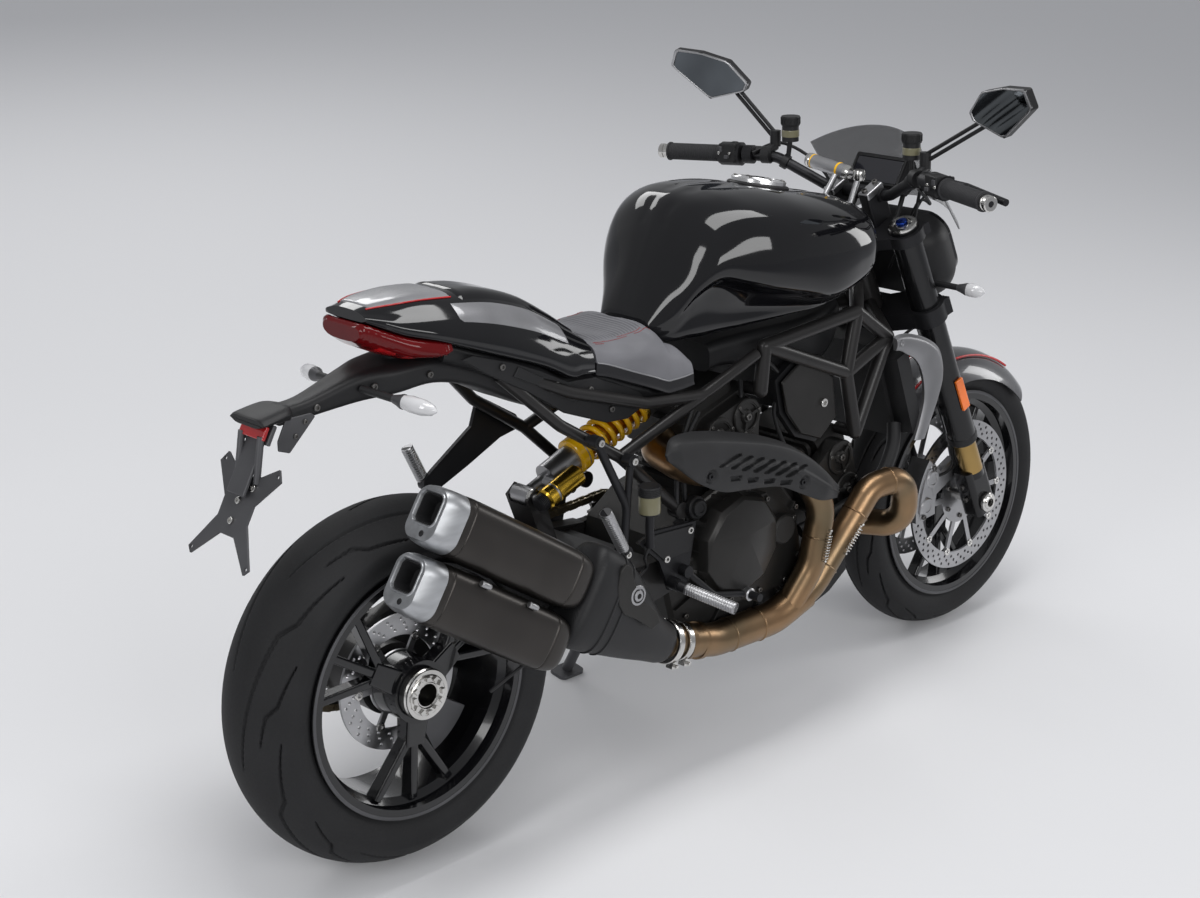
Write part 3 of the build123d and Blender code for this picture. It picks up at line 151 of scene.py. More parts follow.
studio = {"half": 60, "colour": (0.76, 0.76, 0.77), "roughness": 0.6, "fill": (0.93, 0.95, 1.0),
          "fillStrength": 0.42, "seen": (0.34, 0.345, 0.355)}
lamps = {  # place, target, size in metres and power
    "overhead": ((0.0, -0.2, 3.4), (0.0, 0.0, 0.6), (3.0, 0.9), 52),
    "rightSide": ((-0.8, -4.0, 2.4), (0.0, 0.0, 0.6), (3.6, 0.9), 60),
    "rearSide": ((-4.0, -0.6, 2.2), (0.0, 0.0, 0.6), (0.8, 2.2), 34),
    "leftRim": ((0.6, 4.0, 2.6), (0.0, 0.0, 0.7), (3.0, 0.9), 34),
    "frontSide": ((4.0, -1.4, 1.8), (0.3, 0.0, 0.6), (0.9, 1.8), 26),
}
makeCamera(cameraSpot)
print("camera placed")
makeFloor(studio)
makeWorld(studio)
for name, setting in lamps.items():
    makeLamp(name, *setting)
scene.view_settings.view_transform = "Standard"
print("studio ready")

# ---- finishes: colour, metal, roughness range, grain, bump depth, and what else differs from the usual
finishes = {
    "tyreRubber": [(0.012, 0.012, 0.013), 0, (0.6, 0.78), 260, 0.2],
    "glossBlack": [(0.004, 0.004, 0.005), 0, (0.05, 0.08), 500, 0.004, {"specular": 0.5}],
    "wheelBlack": [(0.005, 0.005, 0.006), 0, (0.14, 0.2), 420, 0.03, {"coat": 0.5}],
    "discSteel": [(0.40, 0.40, 0.41), 1, (0.24, 0.36), 500, 0.08],
    "darkSteel": [(0.16, 0.155, 0.15), 1, (0.32, 0.5), 340, 0.15],
    "polishedSteel": [(0.62, 0.61, 0.59), 1, (0.14, 0.26), 300, 0.05],
    "forkBlack": [(0.012, 0.012, 0.013), 0.4, (0.2, 0.28), 500, 0.02, {"coat": 0.3}],
    "stanchionGold": [(0.36, 0.24, 0.09), 1, (0.16, 0.28), 360, 0.04],
    "anodisedBlack": [(0.020, 0.020, 0.022), 0.5, (0.34, 0.46), 900, 0.06],
    "gripRubber": [(0.028, 0.028, 0.030), 0, (0.6, 0.75), 400, 0.25],
    "mouldedBlack": [(0.012, 0.012, 0.013), 0, (0.42, 0.56), 1100, 0.15],
    "mattBlack": [(0.012, 0.012, 0.013), 0, (0.55, 0.7), 1000, 0.2],
    "satinGrey": [(0.09, 0.09, 0.095), 0.5, (0.38, 0.5), 800, 0.08],
    "castGrey": [(0.034, 0.033, 0.032), 0.55, (0.42, 0.58), 700, 0.3],
    "coverBlack": [(0.030, 0.029, 0.028), 0.6, (0.28, 0.4), 800, 0.18],
    "frameBlack": [(0.018, 0.017, 0.017), 0.3, (0.34, 0.44), 900, 0.08, {"coat": 0.15}],
    "satinAluminium": [(0.40, 0.40, 0.41), 1, (0.3, 0.44), 600, 0.1],
    "brushedAluminium": [(0.44, 0.45, 0.465), 1, (0.36, 0.48), 260, 0.06, {"stretch": (1, 6, 6)}],
    "guardAluminium": [(0.30, 0.30, 0.31), 1, (0.42, 0.48), 900, 0.03],
    "springYellow": [(0.76, 0.42, 0.008), 0, (0.2, 0.3), 300, 0.03, {"coat": 0.5}],
    "reservoirGold": [(0.70, 0.44, 0.05), 1, (0.2, 0.3), 300, 0.03],
    "heatBronze": [(0.24, 0.185, 0.115), 1, (0.28, 0.42), 60, 0.05, {"spread": 0.3, "tint": (0.25, 0.155, 0.085)}],
    "silencerDark": [(0.050, 0.046, 0.043), 0.85, (0.3, 0.4), 500, 0.05, {"spread": 0.1}],
    "shieldGrey": [(0.024, 0.024, 0.025), 0.2, (0.46, 0.6), 1100, 0.15],
    "radiatorBlack": [(0.018, 0.018, 0.019), 0.3, (0.45, 0.6), 700, 0.2],
    "capSilver": [(0.68, 0.68, 0.69), 0.9, (0.2, 0.3), 500, 0.04],
    # seatGrey's second colour is painted shade in the rib grooves, and also the dark lower band
    "seatGrey": [(0.15, 0.15, 0.162), 0, (0.5, 0.64), 900, 0.3, {"grooveShadeAndBandDark": (0.014, 0.014, 0.016)}],
    "chainSteel": [(0.26, 0.22, 0.15), 1, (0.3, 0.45), 600, 0.1],
    "lensDeep": [(0.10, 0.002, 0.003), 0, (0.05, 0.1), 300, 0.01],
    "lensRed": [(0.36, 0.004, 0.006), 0, (0.06, 0.1), 200, 0.02, {"coat": 1}],
    "lensClear": [(0.62, 0.62, 0.63), 0, (0.06, 0.12), 300, 0.08, {"coat": 1}],
    "lensAmber": [(0.80, 0.16, 0.01), 0, (0.1, 0.2), 300, 0.05, {"coat": 1}],
    "screenSmoke": [(0.02, 0.02, 0.023), 0, (0.05, 0.08), 60, 0, {"coat": 0.5, "alpha": 0.55}],
    "displayGlass": [(0.012, 0.012, 0.016), 0, (0.08, 0.12), 60, 0, {"coat": 1}],
    "mirrorGlass": [(0.10, 0.11, 0.12), 1, (0.03, 0.05), 60, 0],
    "pearlGrey": [(0.075, 0.075, 0.08), 0.3, (0.2, 0.28), 500, 0.02, {"coat": 0.8}],
    "silverPaint": [(0.22, 0.22, 0.23), 0.3, (0.24, 0.34), 700, 0.02, {"coat": 0.6}],
    "redPaint": [(0.42, 0.012, 0.014), 0, (0.2, 0.28), 300, 0.02, {"coat": 0.6}],
    "threadRed": [(0.26, 0.035, 0.035), 0, (0.6, 0.8), 900, 0.3],
    "hoseBlack": [(0.014, 0.014, 0.015), 0, (0.44, 0.58), 700, 0.1],
    "blueAlloy": [(0.02, 0.06, 0.35), 1, (0.2, 0.3), 400, 0.03],
    "fluidYellow": [(0.15, 0.14, 0.085), 0, (0.25, 0.35), 300, 0.03, {"coat": 0.4}],
}
usual = {"coat": 0, "specular": 0.3, "alpha": 1, "stretch": (1, 1, 1), "spread": 0.18, "coatRough": 0.05,
         "patchScale": 9.0, "bumpHeight": 0.0006}
materials = {}


# painted shade: mixes the dark colour into the seat's rib grooves, and into its dark lower band
def paintGrooveShadeAndBand(tree, colour, dark, target):  # shade darkens the grooves, drop what lies below the piping
    deeper = tree.nodes.new("ShaderNodeMath")
    deeper.operation, deeper.use_clamp = "MAXIMUM", True
    for label, socket in zip(("shade", "drop"), deeper.inputs):
        mark = tree.nodes.new("ShaderNodeAttribute")
        mark.attribute_name = label
        tree.links.new(mark.outputs["Fac"], socket)
    blend = tree.nodes.new("ShaderNodeMix")
    blend.data_type = "RGBA"
    lower, upper = [socket for socket in blend.inputs if socket.type == "RGBA"]
    upper.default_value = (*dark, 1)
    linkAll(tree, (deeper.outputs[0], blend.inputs[0]), (colour, lower),
            (next(socket for socket in blend.outputs if socket.type == "RGBA"), target))


def makeFinish(name, colour, metal, roughRange, grain, depth, special=None):
    look = {**usual, **(special or {})}
    material = bpy.data.materials.new(name)
    material.use_nodes = True
    tree = material.node_tree
    shader = tree.nodes["Principled BSDF"]
    place = tree.nodes.new("ShaderNodeTexCoord")
    mapping = addNode(tree, "ShaderNodeMapping", Scale=look["stretch"])
    fine = addNode(tree, "ShaderNodeTexNoise", Scale=grain, Detail=3.0)
    broad = addNode(tree, "ShaderNodeTexNoise", Scale=look["patchScale"], Detail=2.0)
    ramp = tree.nodes.new("ShaderNodeValToRGB")
    stops = ((colour, 1 - look["spread"], 0.3), (look.get("tint", colour), 1 + look["spread"], 0.7))
    for stop, (shade, factor, position) in zip(ramp.color_ramp.elements, stops):
        stop.color = (*[min(1, channel * factor) for channel in shade], 1)
        stop.position = position
    # painted shade in the seat's rib grooves, mixed with its dark lower band
    if "grooveShadeAndBandDark" in look:
        paintGrooveShadeAndBand(tree, ramp.outputs["Color"], look["grooveShadeAndBandDark"], shader.inputs["Base Color"])
    else:
        tree.links.new(ramp.outputs["Color"], shader.inputs["Base Color"])
    rough = addNode(tree, "ShaderNodeMapRange", **dict(zip(("To Min", "To Max"), roughRange)))
    linkAll(tree, (place.outputs["Object"], mapping.inputs["Vector"]), (mapping.outputs[0], fine.inputs["Vector"]),
            (mapping.outputs[0], broad.inputs["Vector"]), (broad.outputs["Fac"], ramp.inputs["Fac"]),
            (fine.outputs["Fac"], rough.inputs["Value"]), (rough.outputs["Result"], shader.inputs["Roughness"]))
    if depth:
        bump = addNode(tree, "ShaderNodeBump", Strength=depth, Distance=look["bumpHeight"])
        linkAll(tree, (fine.outputs["Fac"], bump.inputs["Height"]), (bump.outputs[0], shader.inputs["Normal"]))
    for socket, value in (("Metallic", metal), ("Specular IOR Level", look["specular"]),
                          ("Coat Weight", look["coat"]), ("Coat Roughness", look["coatRough"]),
                          ("Alpha", look["alpha"])):
        shader.inputs[socket].default_value = value
    materials[name] = material


for name, look in finishes.items():
    makeFinish(name, *look)

cadFinish = {
    "tyreRubber": "rear_tyre front_tyre", "wheelBlack": "rear_rim front_rim",
    "discSteel": "rear_disc front_discs", "darkSteel": "rear_sprocket",
    "polishedSteel": "rear_spindle front_spindle swingarm_pivot",
    "forkBlack": "fork_outer_tubes fork_inner_tubes",
    "anodisedBlack": "triple_clamps handlebar bar_controls rider_footrests foot_controls passenger_footrests",
    "gripRubber": "grips",
    "mouldedBlack": "mirrors headlamp fluid_reservoirs airbox front_indicators rear_indicators instrument_panel",
    "satinAluminium": "steering_damper front_calipers shock_absorber", "screenSmoke": "flyscreen",
    "pearlGrey": "front_mudguard", "satinGrey": "rear_caliper side_stand plate_carrier",
    "castGrey": "crankcase cylinders", "coverBlack": "engine_covers belt_covers",
    "frameBlack": "main_frame rear_subframe swingarm", "springYellow": "shock_spring",
    "chainSteel": "drive_chain", "heatBronze": "exhaust_pipes", "silencerDark": "silencers",
    "brushedAluminium": "silencer_caps", "shieldGrey": "heat_shield", "radiatorBlack": "radiator",
    "guardAluminium": "radiator_guards", "mattBlack": "belly_pan undertray",
    "glossBlack": "fuel_tank tail_cowl", "capSilver": "filler_cap", "seatGrey": "rider_seat",
    "lensRed": "tail_light",
}
for finish, members in cadFinish.items():
    for member in members.split():
        mesh = nodes[member].data
        mesh.materials.clear()
        mesh.materials.append(materials[finish])
unfinished = set(nodes) - {member for members in cadFinish.values() for member in members.split()}
print("CAD finishes set; without one:", sorted(unfinished))


# ---- mesh helpers: shapes are (points, faces) in the upright frame, in mm
def combine(*shapes):
    points, faces = [], []
    for shapePoints, shapeFaces in shapes:
        start = len(points)
        points += [tuple(point) for point in shapePoints]
        faces += [tuple(start + index for index in face) for face in shapeFaces]
    return points, faces


def ringLoft(rings, ends=(True, True)):
    count = len(rings[0])
    points = [tuple(point) for ring in rings for point in ring]
    faces = []
    for low in range(0, len(points) - count, count):
        for index in range(count):
            following = (index + 1) % count
            faces.append((low + index, low + following, low + count + following, low + count + index))
    if ends[0]:
        faces.append(tuple(range(count))[::-1])
    if ends[1]:
        faces.append(tuple(range(len(points) - count, len(points))))
    return points, faces


def aroundAxis(axis):
    way = Vector(axis).normalized()
    side = way.orthogonal().normalized()
    return way, side, way.cross(side)


def lathe(profile, centre, axis, segments=32, ends=(True, True)):  # profile rows: along, radius
    way, side, up = aroundAxis(axis)
    turns = [2 * pi * step / segments for step in range(segments)]
    return ringLoft([[Vector(centre) + way * along + side * (cos(turn) * radius)
                      + up * (sin(turn) * radius) for turn in turns] for along, radius in profile], ends)


def turned(*forms):  # several turned forms in one
    return combine(*[lathe(*form) for form in forms])


def hoop(profile, centre, axis, segments):  # a turned ring, closed on itself
    return lathe(list(profile) + [profile[0]], centre, axis, segments, (False, False))


def roundBar(start, end, radius, segments=16, chamfer=0.8):
    length = (Vector(end) - Vector(start)).length
    cut = min(chamfer, radius / 2, length / 3)
    profile = [(0, radius - cut), (cut, radius), (length - cut, radius), (length, radius - cut)]
    return lathe(profile, start, Vector(end) - Vector(start), segments)


def flatPlate(outline, near, far):
    return ringLoft([[(x, y, z) for x, z in outline] for y in (near, far)])


def frameBox(centre, xWay, yWay, size):
    xWay, yWay = Vector(xWay).normalized(), Vector(yWay).normalized()
    zWay = xWay.cross(yWay).normalized()
    return ringLoft([[Vector(centre) + xWay * (size[0] * i) + yWay * (size[1] * j) + zWay * (size[2] * level)
                      for i, j in ((-0.5, -0.5), (0.5, -0.5), (0.5, 0.5), (-0.5, 0.5))] for level in (-0.5, 0.5)])


def circle(centre, reach, count, first=0, facing=(0, 1, 0)):  # spots round a point, in the bike's side plane
    turns = [radians(first + 360 * step / count) for step in range(count)]
    return [((centre[0] + reach * cos(turn), centre[1], centre[2] + reach * sin(turn)), tuple(facing))
            for turn in turns]


def ride(piece, body, replaced):
    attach(piece, body)
    if replaced:
        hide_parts(*replaced)
    return piece


# edges sharper than the smooth angle stay crisp, a bevel rounds those past its own; points this near are one
meshFit = {"smooth": 38, "bevelFrom": 28, "mergeMetres": 0.00002}


def addPiece(name, shape, finish, body="chassis", replaced=(), bevel=0, segments=2,
             smooth=meshFit["smooth"], subdivide=0):
    mesh = bpy.data.meshes.new(name)
    mesh.from_pydata([row(point) for point in shape[0]], [], shape[1])
    form = bmesh.new()
    form.from_mesh(mesh)
    bmesh.ops.remove_doubles(form, verts=form.verts, dist=meshFit["mergeMetres"])
    bmesh.ops.recalc_face_normals(form, faces=form.faces)
    form.to_mesh(mesh)
    form.free()
    mesh.materials.append(materials[finish])
    mesh.shade_smooth()
    piece = addObject(name, mesh)
    if bevel:
        edge = piece.modifiers.new("edge", "BEVEL")
        edge.width, edge.segments = bevel / 1000, segments
        edge.limit_method, edge.angle_limit = "ANGLE", radians(meshFit["bevelFrom"])
        edge.harden_normals = True
    elif subdivide:
        rounding = piece.modifiers.new("round", "SUBSURF")
        rounding.levels = rounding.render_levels = subdivide
    else:
        mesh.set_sharp_from_angle(angle=radians(smooth))
    return ride(piece, body, replaced)


# ---- node trees for paths and copies
def startTree(name, sockets):
    tree = bpy.data.node_groups.new(name, "GeometryNodeTree")
    for label, kind in {"Geometry": "Geometry", **sockets}.items():
        tree.interface.new_socket(label, in_out="INPUT", socket_type="NodeSocket" + kind)
    tree.interface.new_socket("Geometry", in_out="OUTPUT", socket_type="NodeSocketGeometry")
    return tree, tree.nodes.new("NodeGroupInput"), tree.nodes.new("NodeGroupOutput")


def chainNodes(tree, first, kinds, last):  # one geometry node after another, given back by kind
    previous, made = first, {}
    for kind in kinds:
        made[kind] = tree.nodes.new("GeometryNode" + kind)
        tree.links.new(previous, made[kind].inputs[0])
        previous = made[kind].outputs[0]
    tree.links.new(previous, last.inputs[0])
    return made


def makePathTree():  # a round section swept along smooth paths
    tree, start, end = startTree("pathTree", {"Radius": "Float", "Sides": "Int", "Steps": "Int", "Finish": "Material"})
    made = chainNodes(tree, start.outputs["Geometry"], [
        "MeshToCurve", "CurveSplineType", "SetSplineResolution", "CurveToMesh", "RealizeInstances",
        "SetShadeSmooth", "SetMaterial"], end)
    made["CurveSplineType"].spline_type = "CATMULL_ROM"
    made["CurveToMesh"].inputs["Fill Caps"].default_value = True
    section = tree.nodes.new("GeometryNodeCurvePrimitiveCircle")
    linkAll(tree, (start.outputs["Sides"], section.inputs["Resolution"]),
            (start.outputs["Radius"], section.inputs["Radius"]),
            (section.outputs["Curve"], made["CurveToMesh"].inputs["Profile Curve"]),
            (start.outputs["Steps"], made["SetSplineResolution"].inputs["Resolution"]),
            (start.outputs["Finish"], made["SetMaterial"].inputs["Material"]))
    return tree


def makeCopyTree():  # one form on many points, each turned by the point's own turn
    tree, start, end = startTree("copyTree", {"Copy": "Object", "Finish": "Material"})
    made = chainNodes(tree, start.outputs["Geometry"], ["InstanceOnPoints", "RealizeInstances", "SetMaterial"], end)
    spread = made["InstanceOnPoints"].inputs
    source = tree.nodes.new("GeometryNodeObjectInfo")
    turn = addNode(tree, "GeometryNodeInputNamedAttribute", Name="turn")
    turn.data_type = "FLOAT_VECTOR"
    toRotation = tree.nodes.new("FunctionNodeEulerToRotation")
    linkAll(tree, (start.outputs["Copy"], source.inputs["Object"]),
            (source.outputs["Geometry"], spread["Instance"]), (turn.outputs["Attribute"], toRotation.inputs[0]),
            (toRotation.outputs[0], spread["Rotation"]),
            (start.outputs["Finish"], made["SetMaterial"].inputs["Material"]))
    return tree


pathTree, copyTree = makePathTree(), makeCopyTree()


def bakeTree(name, source, tree, values, finish, body, replaced=(), slotName=None):
    modifier = source.modifiers.new(tree.name, "NODES")
    modifier.node_group = tree
    sockets = {item.name: item.identifier for item in tree.interface.items_tree if item.in_out == "INPUT"}
    for label, value in {**values, "Finish": materials[finish]}.items():
        modifier[sockets[label]] = value
    mesh = bpy.data.meshes.new_from_object(source.evaluated_get(bpy.context.evaluated_depsgraph_get()))
    mesh.name = name
    mesh.materials.clear()
    mesh.materials.append(materials[finish])
    bpy.data.objects.remove(source)
    return ride(addObject(name, mesh), body, replaced)


def addPaths(name, paths, radius, finish, body="chassis", sides=12, steps=8, **more):
    points, edges = [], []
    for path in paths:
        start = len(points)
        points += [row(point) for point in path]
        edges += [(start + index, start + index + 1) for index in range(len(path) - 1)]
    mesh = bpy.data.meshes.new(name + "Path")
    mesh.from_pydata(points, edges, [])
    values = {"Radius": radius / 1000, "Sides": sides, "Steps": steps}
    return bakeTree(name, addObject(name + "Path", mesh), pathTree, values, finish, body, **more)


def addCopies(name, shape, spots, finish, body="chassis", **more):  # spots: place, facing, turn in degrees
    upToRow = bikeToRow.to_3x3().normalized()
    places, turns = [], []
    for place, facing, *spin in spots:
        rotation = (upToRow @ Vector(facing)).to_track_quat("Z", "Y")
        if spin:
            rotation = rotation @ Matrix.Rotation(radians(spin[0]), 3, "Z").to_quaternion()
        places.append(row(place))
        turns += list(rotation.to_euler())
    pattern = bpy.data.meshes.new(name + "Pattern")
    pattern.from_pydata([Vector(point) / 1000 for point in shape[0]], [], shape[1])
    pattern.shade_smooth()
    pattern.set_sharp_from_angle(angle=radians(meshFit["smooth"]))
    copy = addObject(name + "Pattern", pattern)
    mesh = bpy.data.meshes.new(name + "Spots")
    mesh.from_pydata(places, [], [])
    mesh.attributes.new("turn", "FLOAT_VECTOR", "POINT").data.foreach_set("vector", turns)
    piece = bakeTree(name, addObject(name + "Spots", mesh), copyTree, {"Copy": copy}, finish, body, **more)
    bpy.data.objects.remove(copy)
    return piece


def hexSocket(radius, height):  # a bolt head with a six-sided socket
    corners = [(cos(k * pi / 6), sin(k * pi / 6)) for k in range(12)]
    rings = [[(c * reach, s * reach, level) for c, s in corners]
             for level, reach in ((0, radius), (height - 0.8, radius), (height, radius - 0.8))]
    for level in (height, height * 0.45):
        reaches = [radius * 0.52 * (0.866 if k % 2 else 1) for k in range(12)]
        rings.append([(c * reach, s * reach, level) for (c, s), reach in zip(corners, reaches)])
    return ringLoft(rings)


def addBolts(name, radius, height, spots, finish="darkSteel", body="chassis"):
    addCopies(name, hexSocket(radius, height), spots, finish, body)


def ribbed(start, end, radius, ridge, pitch, segments=28):  # a round bar with ridges round it
    length = (Vector(end) - Vector(start)).length
    high = radius + ridge
    profile = [(0, 0.4), (0, radius), (2, high)]
    place = 2 + pitch / 2
    while place < length - pitch:
        profile += [(place, high), (place + pitch * 0.15, radius), (place + pitch * 0.35, radius),
                    (place + pitch * 0.5, high)]
        place += pitch
    profile += [(length - 2, high), (length, radius), (length, 0.4)]
    return lathe(profile, start, Vector(end) - Vector(start), segments)


# ---- grids: a surface given as an array of points, with relief along its normals
def smoothCurve(table, places):
    table = np.asarray(table, float)
    places = np.clip(np.asarray(places, float), 0, len(table) - 1)
    low = np.minimum(places.astype(int), len(table) - 2)
    part = (places - low).reshape((-1,) + (1,) * (table.ndim - 1))
    slopes = np.gradient(table, axis=0)
    first, second = table[low], table[low + 1]
    return (first * (1 + 2 * part) * (1 - part) ** 2 + second * part ** 2 * (3 - 2 * part)
            + slopes[low] * part * (1 - part) ** 2 - slopes[low + 1] * part ** 2 * (1 - part))


def sectionGrid(stations, count, around):  # stations: x and a half outline from top centre to bottom centre
    outlines = np.array([outline for x, outline in stations], float)
    places = np.linspace(0, len(stations) - 1, count)
    halves = smoothCurve(outlines, places)
    spots = smoothCurve([x for x, outline in stations], places)
    steps = np.linspace(0, outlines.shape[1] - 1, around + 1)
    grid = np.zeros((count, 2 * around, 3))
    for index in range(count):
        half = smoothCurve(halves[index], steps)
        half[0, 0] = half[-1, 0] = 0
        grid[index, :, 0] = spots[index]
        grid[index, :, 1:] = np.vstack([half, half[-2:0:-1] * (-1, 1)])
    return grid


def gridNormals(grid, centre):  # of a closed grid, pointing away from its centre
    padded = np.concatenate([grid[:, -1:], grid, grid[:, :1]], axis=1)
    normals = np.cross(np.gradient(grid, axis=0), padded[:, 2:] - padded[:, :-2])
    normals /= np.maximum(np.linalg.norm(normals, axis=2, keepdims=True), 1e-9)
    return normals if np.sum((grid - np.asarray(centre, float)) * normals) > 0 else -normals


def closedForm(grid):
    return ringLoft([list(map(tuple, ring)) for ring in grid])


def sheetForm(outer, inner):
    return ringLoft([list(map(tuple, top)) + list(map(tuple, low[::-1])) for top, low in zip(outer, inner)])


def ruledGrid(firstEdge, secondEdge, along, across):  # flat points between two smooth edges, and both shares
    places = np.linspace(0, len(firstEdge) - 1, along)
    shares = np.linspace(0, 1, across)
    first, second = smoothCurve(firstEdge, places)[:, None, :], smoothCurve(secondEdge, places)[:, None, :]
    flat = first * (1 - shares[None, :, None]) + second * shares[None, :, None]
    return flat[:, :, 0], flat[:, :, 1], shares


def smoothStep(values):
    values = np.clip(values, 0, 1)
    return values * values * (3 - 2 * values)


def sunk(first, second, outline, depth, edge):  # a pocket inside an outline
    inside = np.zeros(first.shape, bool)
    nearest = np.full(first.shape, 1e9)
    for (ax, az), (bx, bz) in zip(outline, outline[1:] + outline[:1]):
        dx, dz = bx - ax, bz - az
        part = np.clip(((first - ax) * dx + (second - az) * dz) / (dx * dx + dz * dz), 0, 1)
        nearest = np.minimum(nearest, np.hypot(first - ax - part * dx, second - az - part * dz))
        slope = dz if abs(dz) > 1e-9 else 1e-9
        inside ^= ((az > second) != (bz > second)) & (first < ax + (second - az) * dx / slope)
    return -depth * smoothStep(np.where(inside, nearest, -nearest) / edge)


# ---- tyres: a closed ring with cut grooves; each groove line has points (along, across, width)
tyres = {
    "rearTyre": {"node": "rear_tyre", "body": "rear_wheel", "x": 0, "radius": rearRadius, "width": 200,
                 "crown": 108, "rim": 152.4, "rounds": 640, "treadSteps": 106, "wallSteps": 9, "repeats": 6,
                 "lines": [[(0, 92, 1.0), (120, 74, 4.4), (150, 54, 5.2), (300, 30, 4.6), (400, 14, 1.0)],
                           [(190, 100, 1.0), (270, 84, 4.0), (292, 66, 4.4), (350, 56, 1.0)]]},
    "frontTyre": {"node": "front_tyre", "body": "front_wheel", "x": frontX, "radius": frontRadius, "width": 120,
                  "crown": 64, "rim": 88.9, "rounds": 600, "treadSteps": 72, "wallSteps": 8, "repeats": 7,
                  "lines": [[(0, 56, 1.0), (90, 44, 3.8), (112, 30, 4.4), (230, 14, 4.0), (300, 6, 1.0)],
                            [(150, 58, 1.0), (205, 48, 3.2), (222, 38, 3.6), (262, 32, 1.0)]]},
}
tyreFit = {"bead": 229.4, "bore": 216.4, "lean": 56, "rimGap": 0.3, "groove": 4.2, "edge": 1.4, "slope": 1.8}


def grooveDepth(along, across, look):
    pitch = 2 * pi * look["radius"] / look["repeats"]
    depth = np.zeros(along.shape)
    for side, shift in ((-1, 0), (1, pitch / 2)):
        local = np.mod(along + shift, pitch)
        for start, end in [pair for line in look["lines"] for pair in zip(line, line[1:])]:
            dx, dy = end[0] - start[0], end[1] - start[1]
            for turn in (-pitch, 0, pitch, 2 * pitch):
                px, py = local + turn - start[0], across * side - start[1]
                part = np.clip((px * dx + py * dy) / (dx * dx + dy * dy), 0, 1)
                away = np.hypot(px - part * dx, py - part * dy)
                half = (start[2] + (end[2] - start[2]) * part) / 2
                cut = smoothStep((half + tyreFit["edge"] - away) / tyreFit["slope"])
                depth = np.maximum(depth, tyreFit["groove"] * cut)
    return depth


def makeTyre(name, look):
    radius, crown, bore = look["radius"], look["crown"], tyreFit["bore"]
    turnedOver = radians(tyreFit["lean"])
    angles = np.linspace(-turnedOver, turnedOver, look["treadSteps"])
    tread = np.column_stack([crown * np.sin(angles), radius - crown * (1 - np.cos(angles))])
    shoulder, lip = tread[-1], np.array((look["rim"] / 2 - tyreFit["rimGap"], tyreFit["bead"]))
    bulge = np.array((look["width"] / 2, (shoulder[1] + lip[1]) / 2))
    steps = np.linspace(0, 1, look["wallSteps"] + 1)[1:, None]
    wall = (1 - steps) ** 2 * shoulder + 2 * steps * (1 - steps) * bulge + steps ** 2 * lip
    section = np.vstack([[(-lip[0], bore)], wall[::-1] * (-1, 1), tread, wall, [(lip[0], bore), (0, bore)]])
    around = (len(wall) + 1, len(wall) + 2)
    onTread, tilt = np.pad(np.ones(len(tread)), around), np.pad(angles, around)
    turns = np.linspace(0, 2 * pi, look["rounds"], endpoint=False)[:, None]
    along, across = np.broadcast_arrays(turns * radius, crown * tilt[None, :])
    depth = grooveDepth(along, across, look) * onTread
    reach = section[:, 1] - depth
    grid = np.stack([look["x"] + np.cos(turns) * reach, section[:, 0] - depth * np.sin(tilt),
                     radius + np.sin(turns) * reach], axis=2)
    count, total = len(section), grid.shape[0] * len(section)
    faces = [(low + k, low + (k + 1) % count, (low + count) % total + (k + 1) % count, (low + count) % total + k)
             for low in range(0, total, count) for k in range(count)]
    addPiece(name, (grid.reshape(-1, 3), faces), "tyreRubber", look["body"], [look["node"]], smooth=50)


for name, look in tyres.items():
    makeTyre(name, look)
print("tyres ready")

# ---- fuel tank: half outlines from the top centre to the bottom centre, (y, z) at each x
tankStations = [
    (566, [(0, 872), (24, 871), (46, 866), (60, 856), (63, 848), (62, 840), (60, 834), (54, 826), (0, 823)]),
    (606, [(0, 955), (34, 950), (66, 930), (90, 905), (96, 880), (92, 862), (88, 845), (76, 822), (0, 817)]),
    (640, [(0, 1024), (50, 1016), (96, 990), (124, 955), (128, 925), (110, 900), (100, 868), (90, 825), (0, 817)]),
    (675, [(0, 1066), (70, 1056), (124, 1026), (150, 985), (152, 946), (122, 918), (106, 876), (96, 824), (0, 818)]),
    (724, [(0, 1079), (90, 1070), (150, 1040), (172, 995), (174, 936), (136, 906), (112, 868), (100, 824), (0, 818)]),
    (780, [(0, 1078), (96, 1071), (166, 1042), (192, 990), (192, 920), (154, 892), (124, 862), (110, 826), (0, 819)]),
    (850, [(0, 1070), (104, 1064), (176, 1036), (202, 980), (202, 906), (178, 880), (146, 856), (126, 832), (0, 823)]),
    (925, [(0, 1053), (106, 1049), (180, 1020), (205, 965), (205, 894), (194, 870), (166, 852), (140, 838), (0, 828)]),
    (1000, [(0, 1038), (100, 1034), (172, 1006), (198, 960), (198, 905), (190, 882), (168, 866), (140, 852), (0, 840)]),
    (1060, [(0, 1024), (88, 1021), (152, 998), (180, 960), (182, 918), (176, 900), (158, 886), (130, 874), (0, 858)]),
    (1100, [(0, 1008), (70, 1005), (118, 990), (140, 964), (142, 934), (136, 918), (120, 906), (96, 896), (0, 884)]),
    (1128, [(0, 986), (48, 983), (74, 972), (84, 956), (84, 936), (78, 922), (66, 914), (50, 908), (0, 905)]),
]
tankLook = {"along": 150, "around": 60, "middle": (850, 0, 950), "spine": 2.2, "spineHalf": 26, "spineEdge": 5,
            "from": 640, "to": 1080, "topFrom": 0.5}


def makeTank(look):
    grid = sectionGrid(tankStations, look["along"], look["around"])
    normals = gridNormals(grid, look["middle"])
    x, y = grid[:, :, 0], grid[:, :, 1]
    onTop = (normals[:, :, 2] > look["topFrom"]) & (x > look["from"]) & (x < look["to"])
    relief = -look["spine"] * smoothStep(1 - np.abs(np.abs(y) - look["spineHalf"]) / look["spineEdge"]) * onTop
    addPiece("tankShell", closedForm(grid + normals * relief[:, :, None]), "glossBlack", "chassis",
             ["fuel_tank"], smooth=60)


makeTank(tankLook)

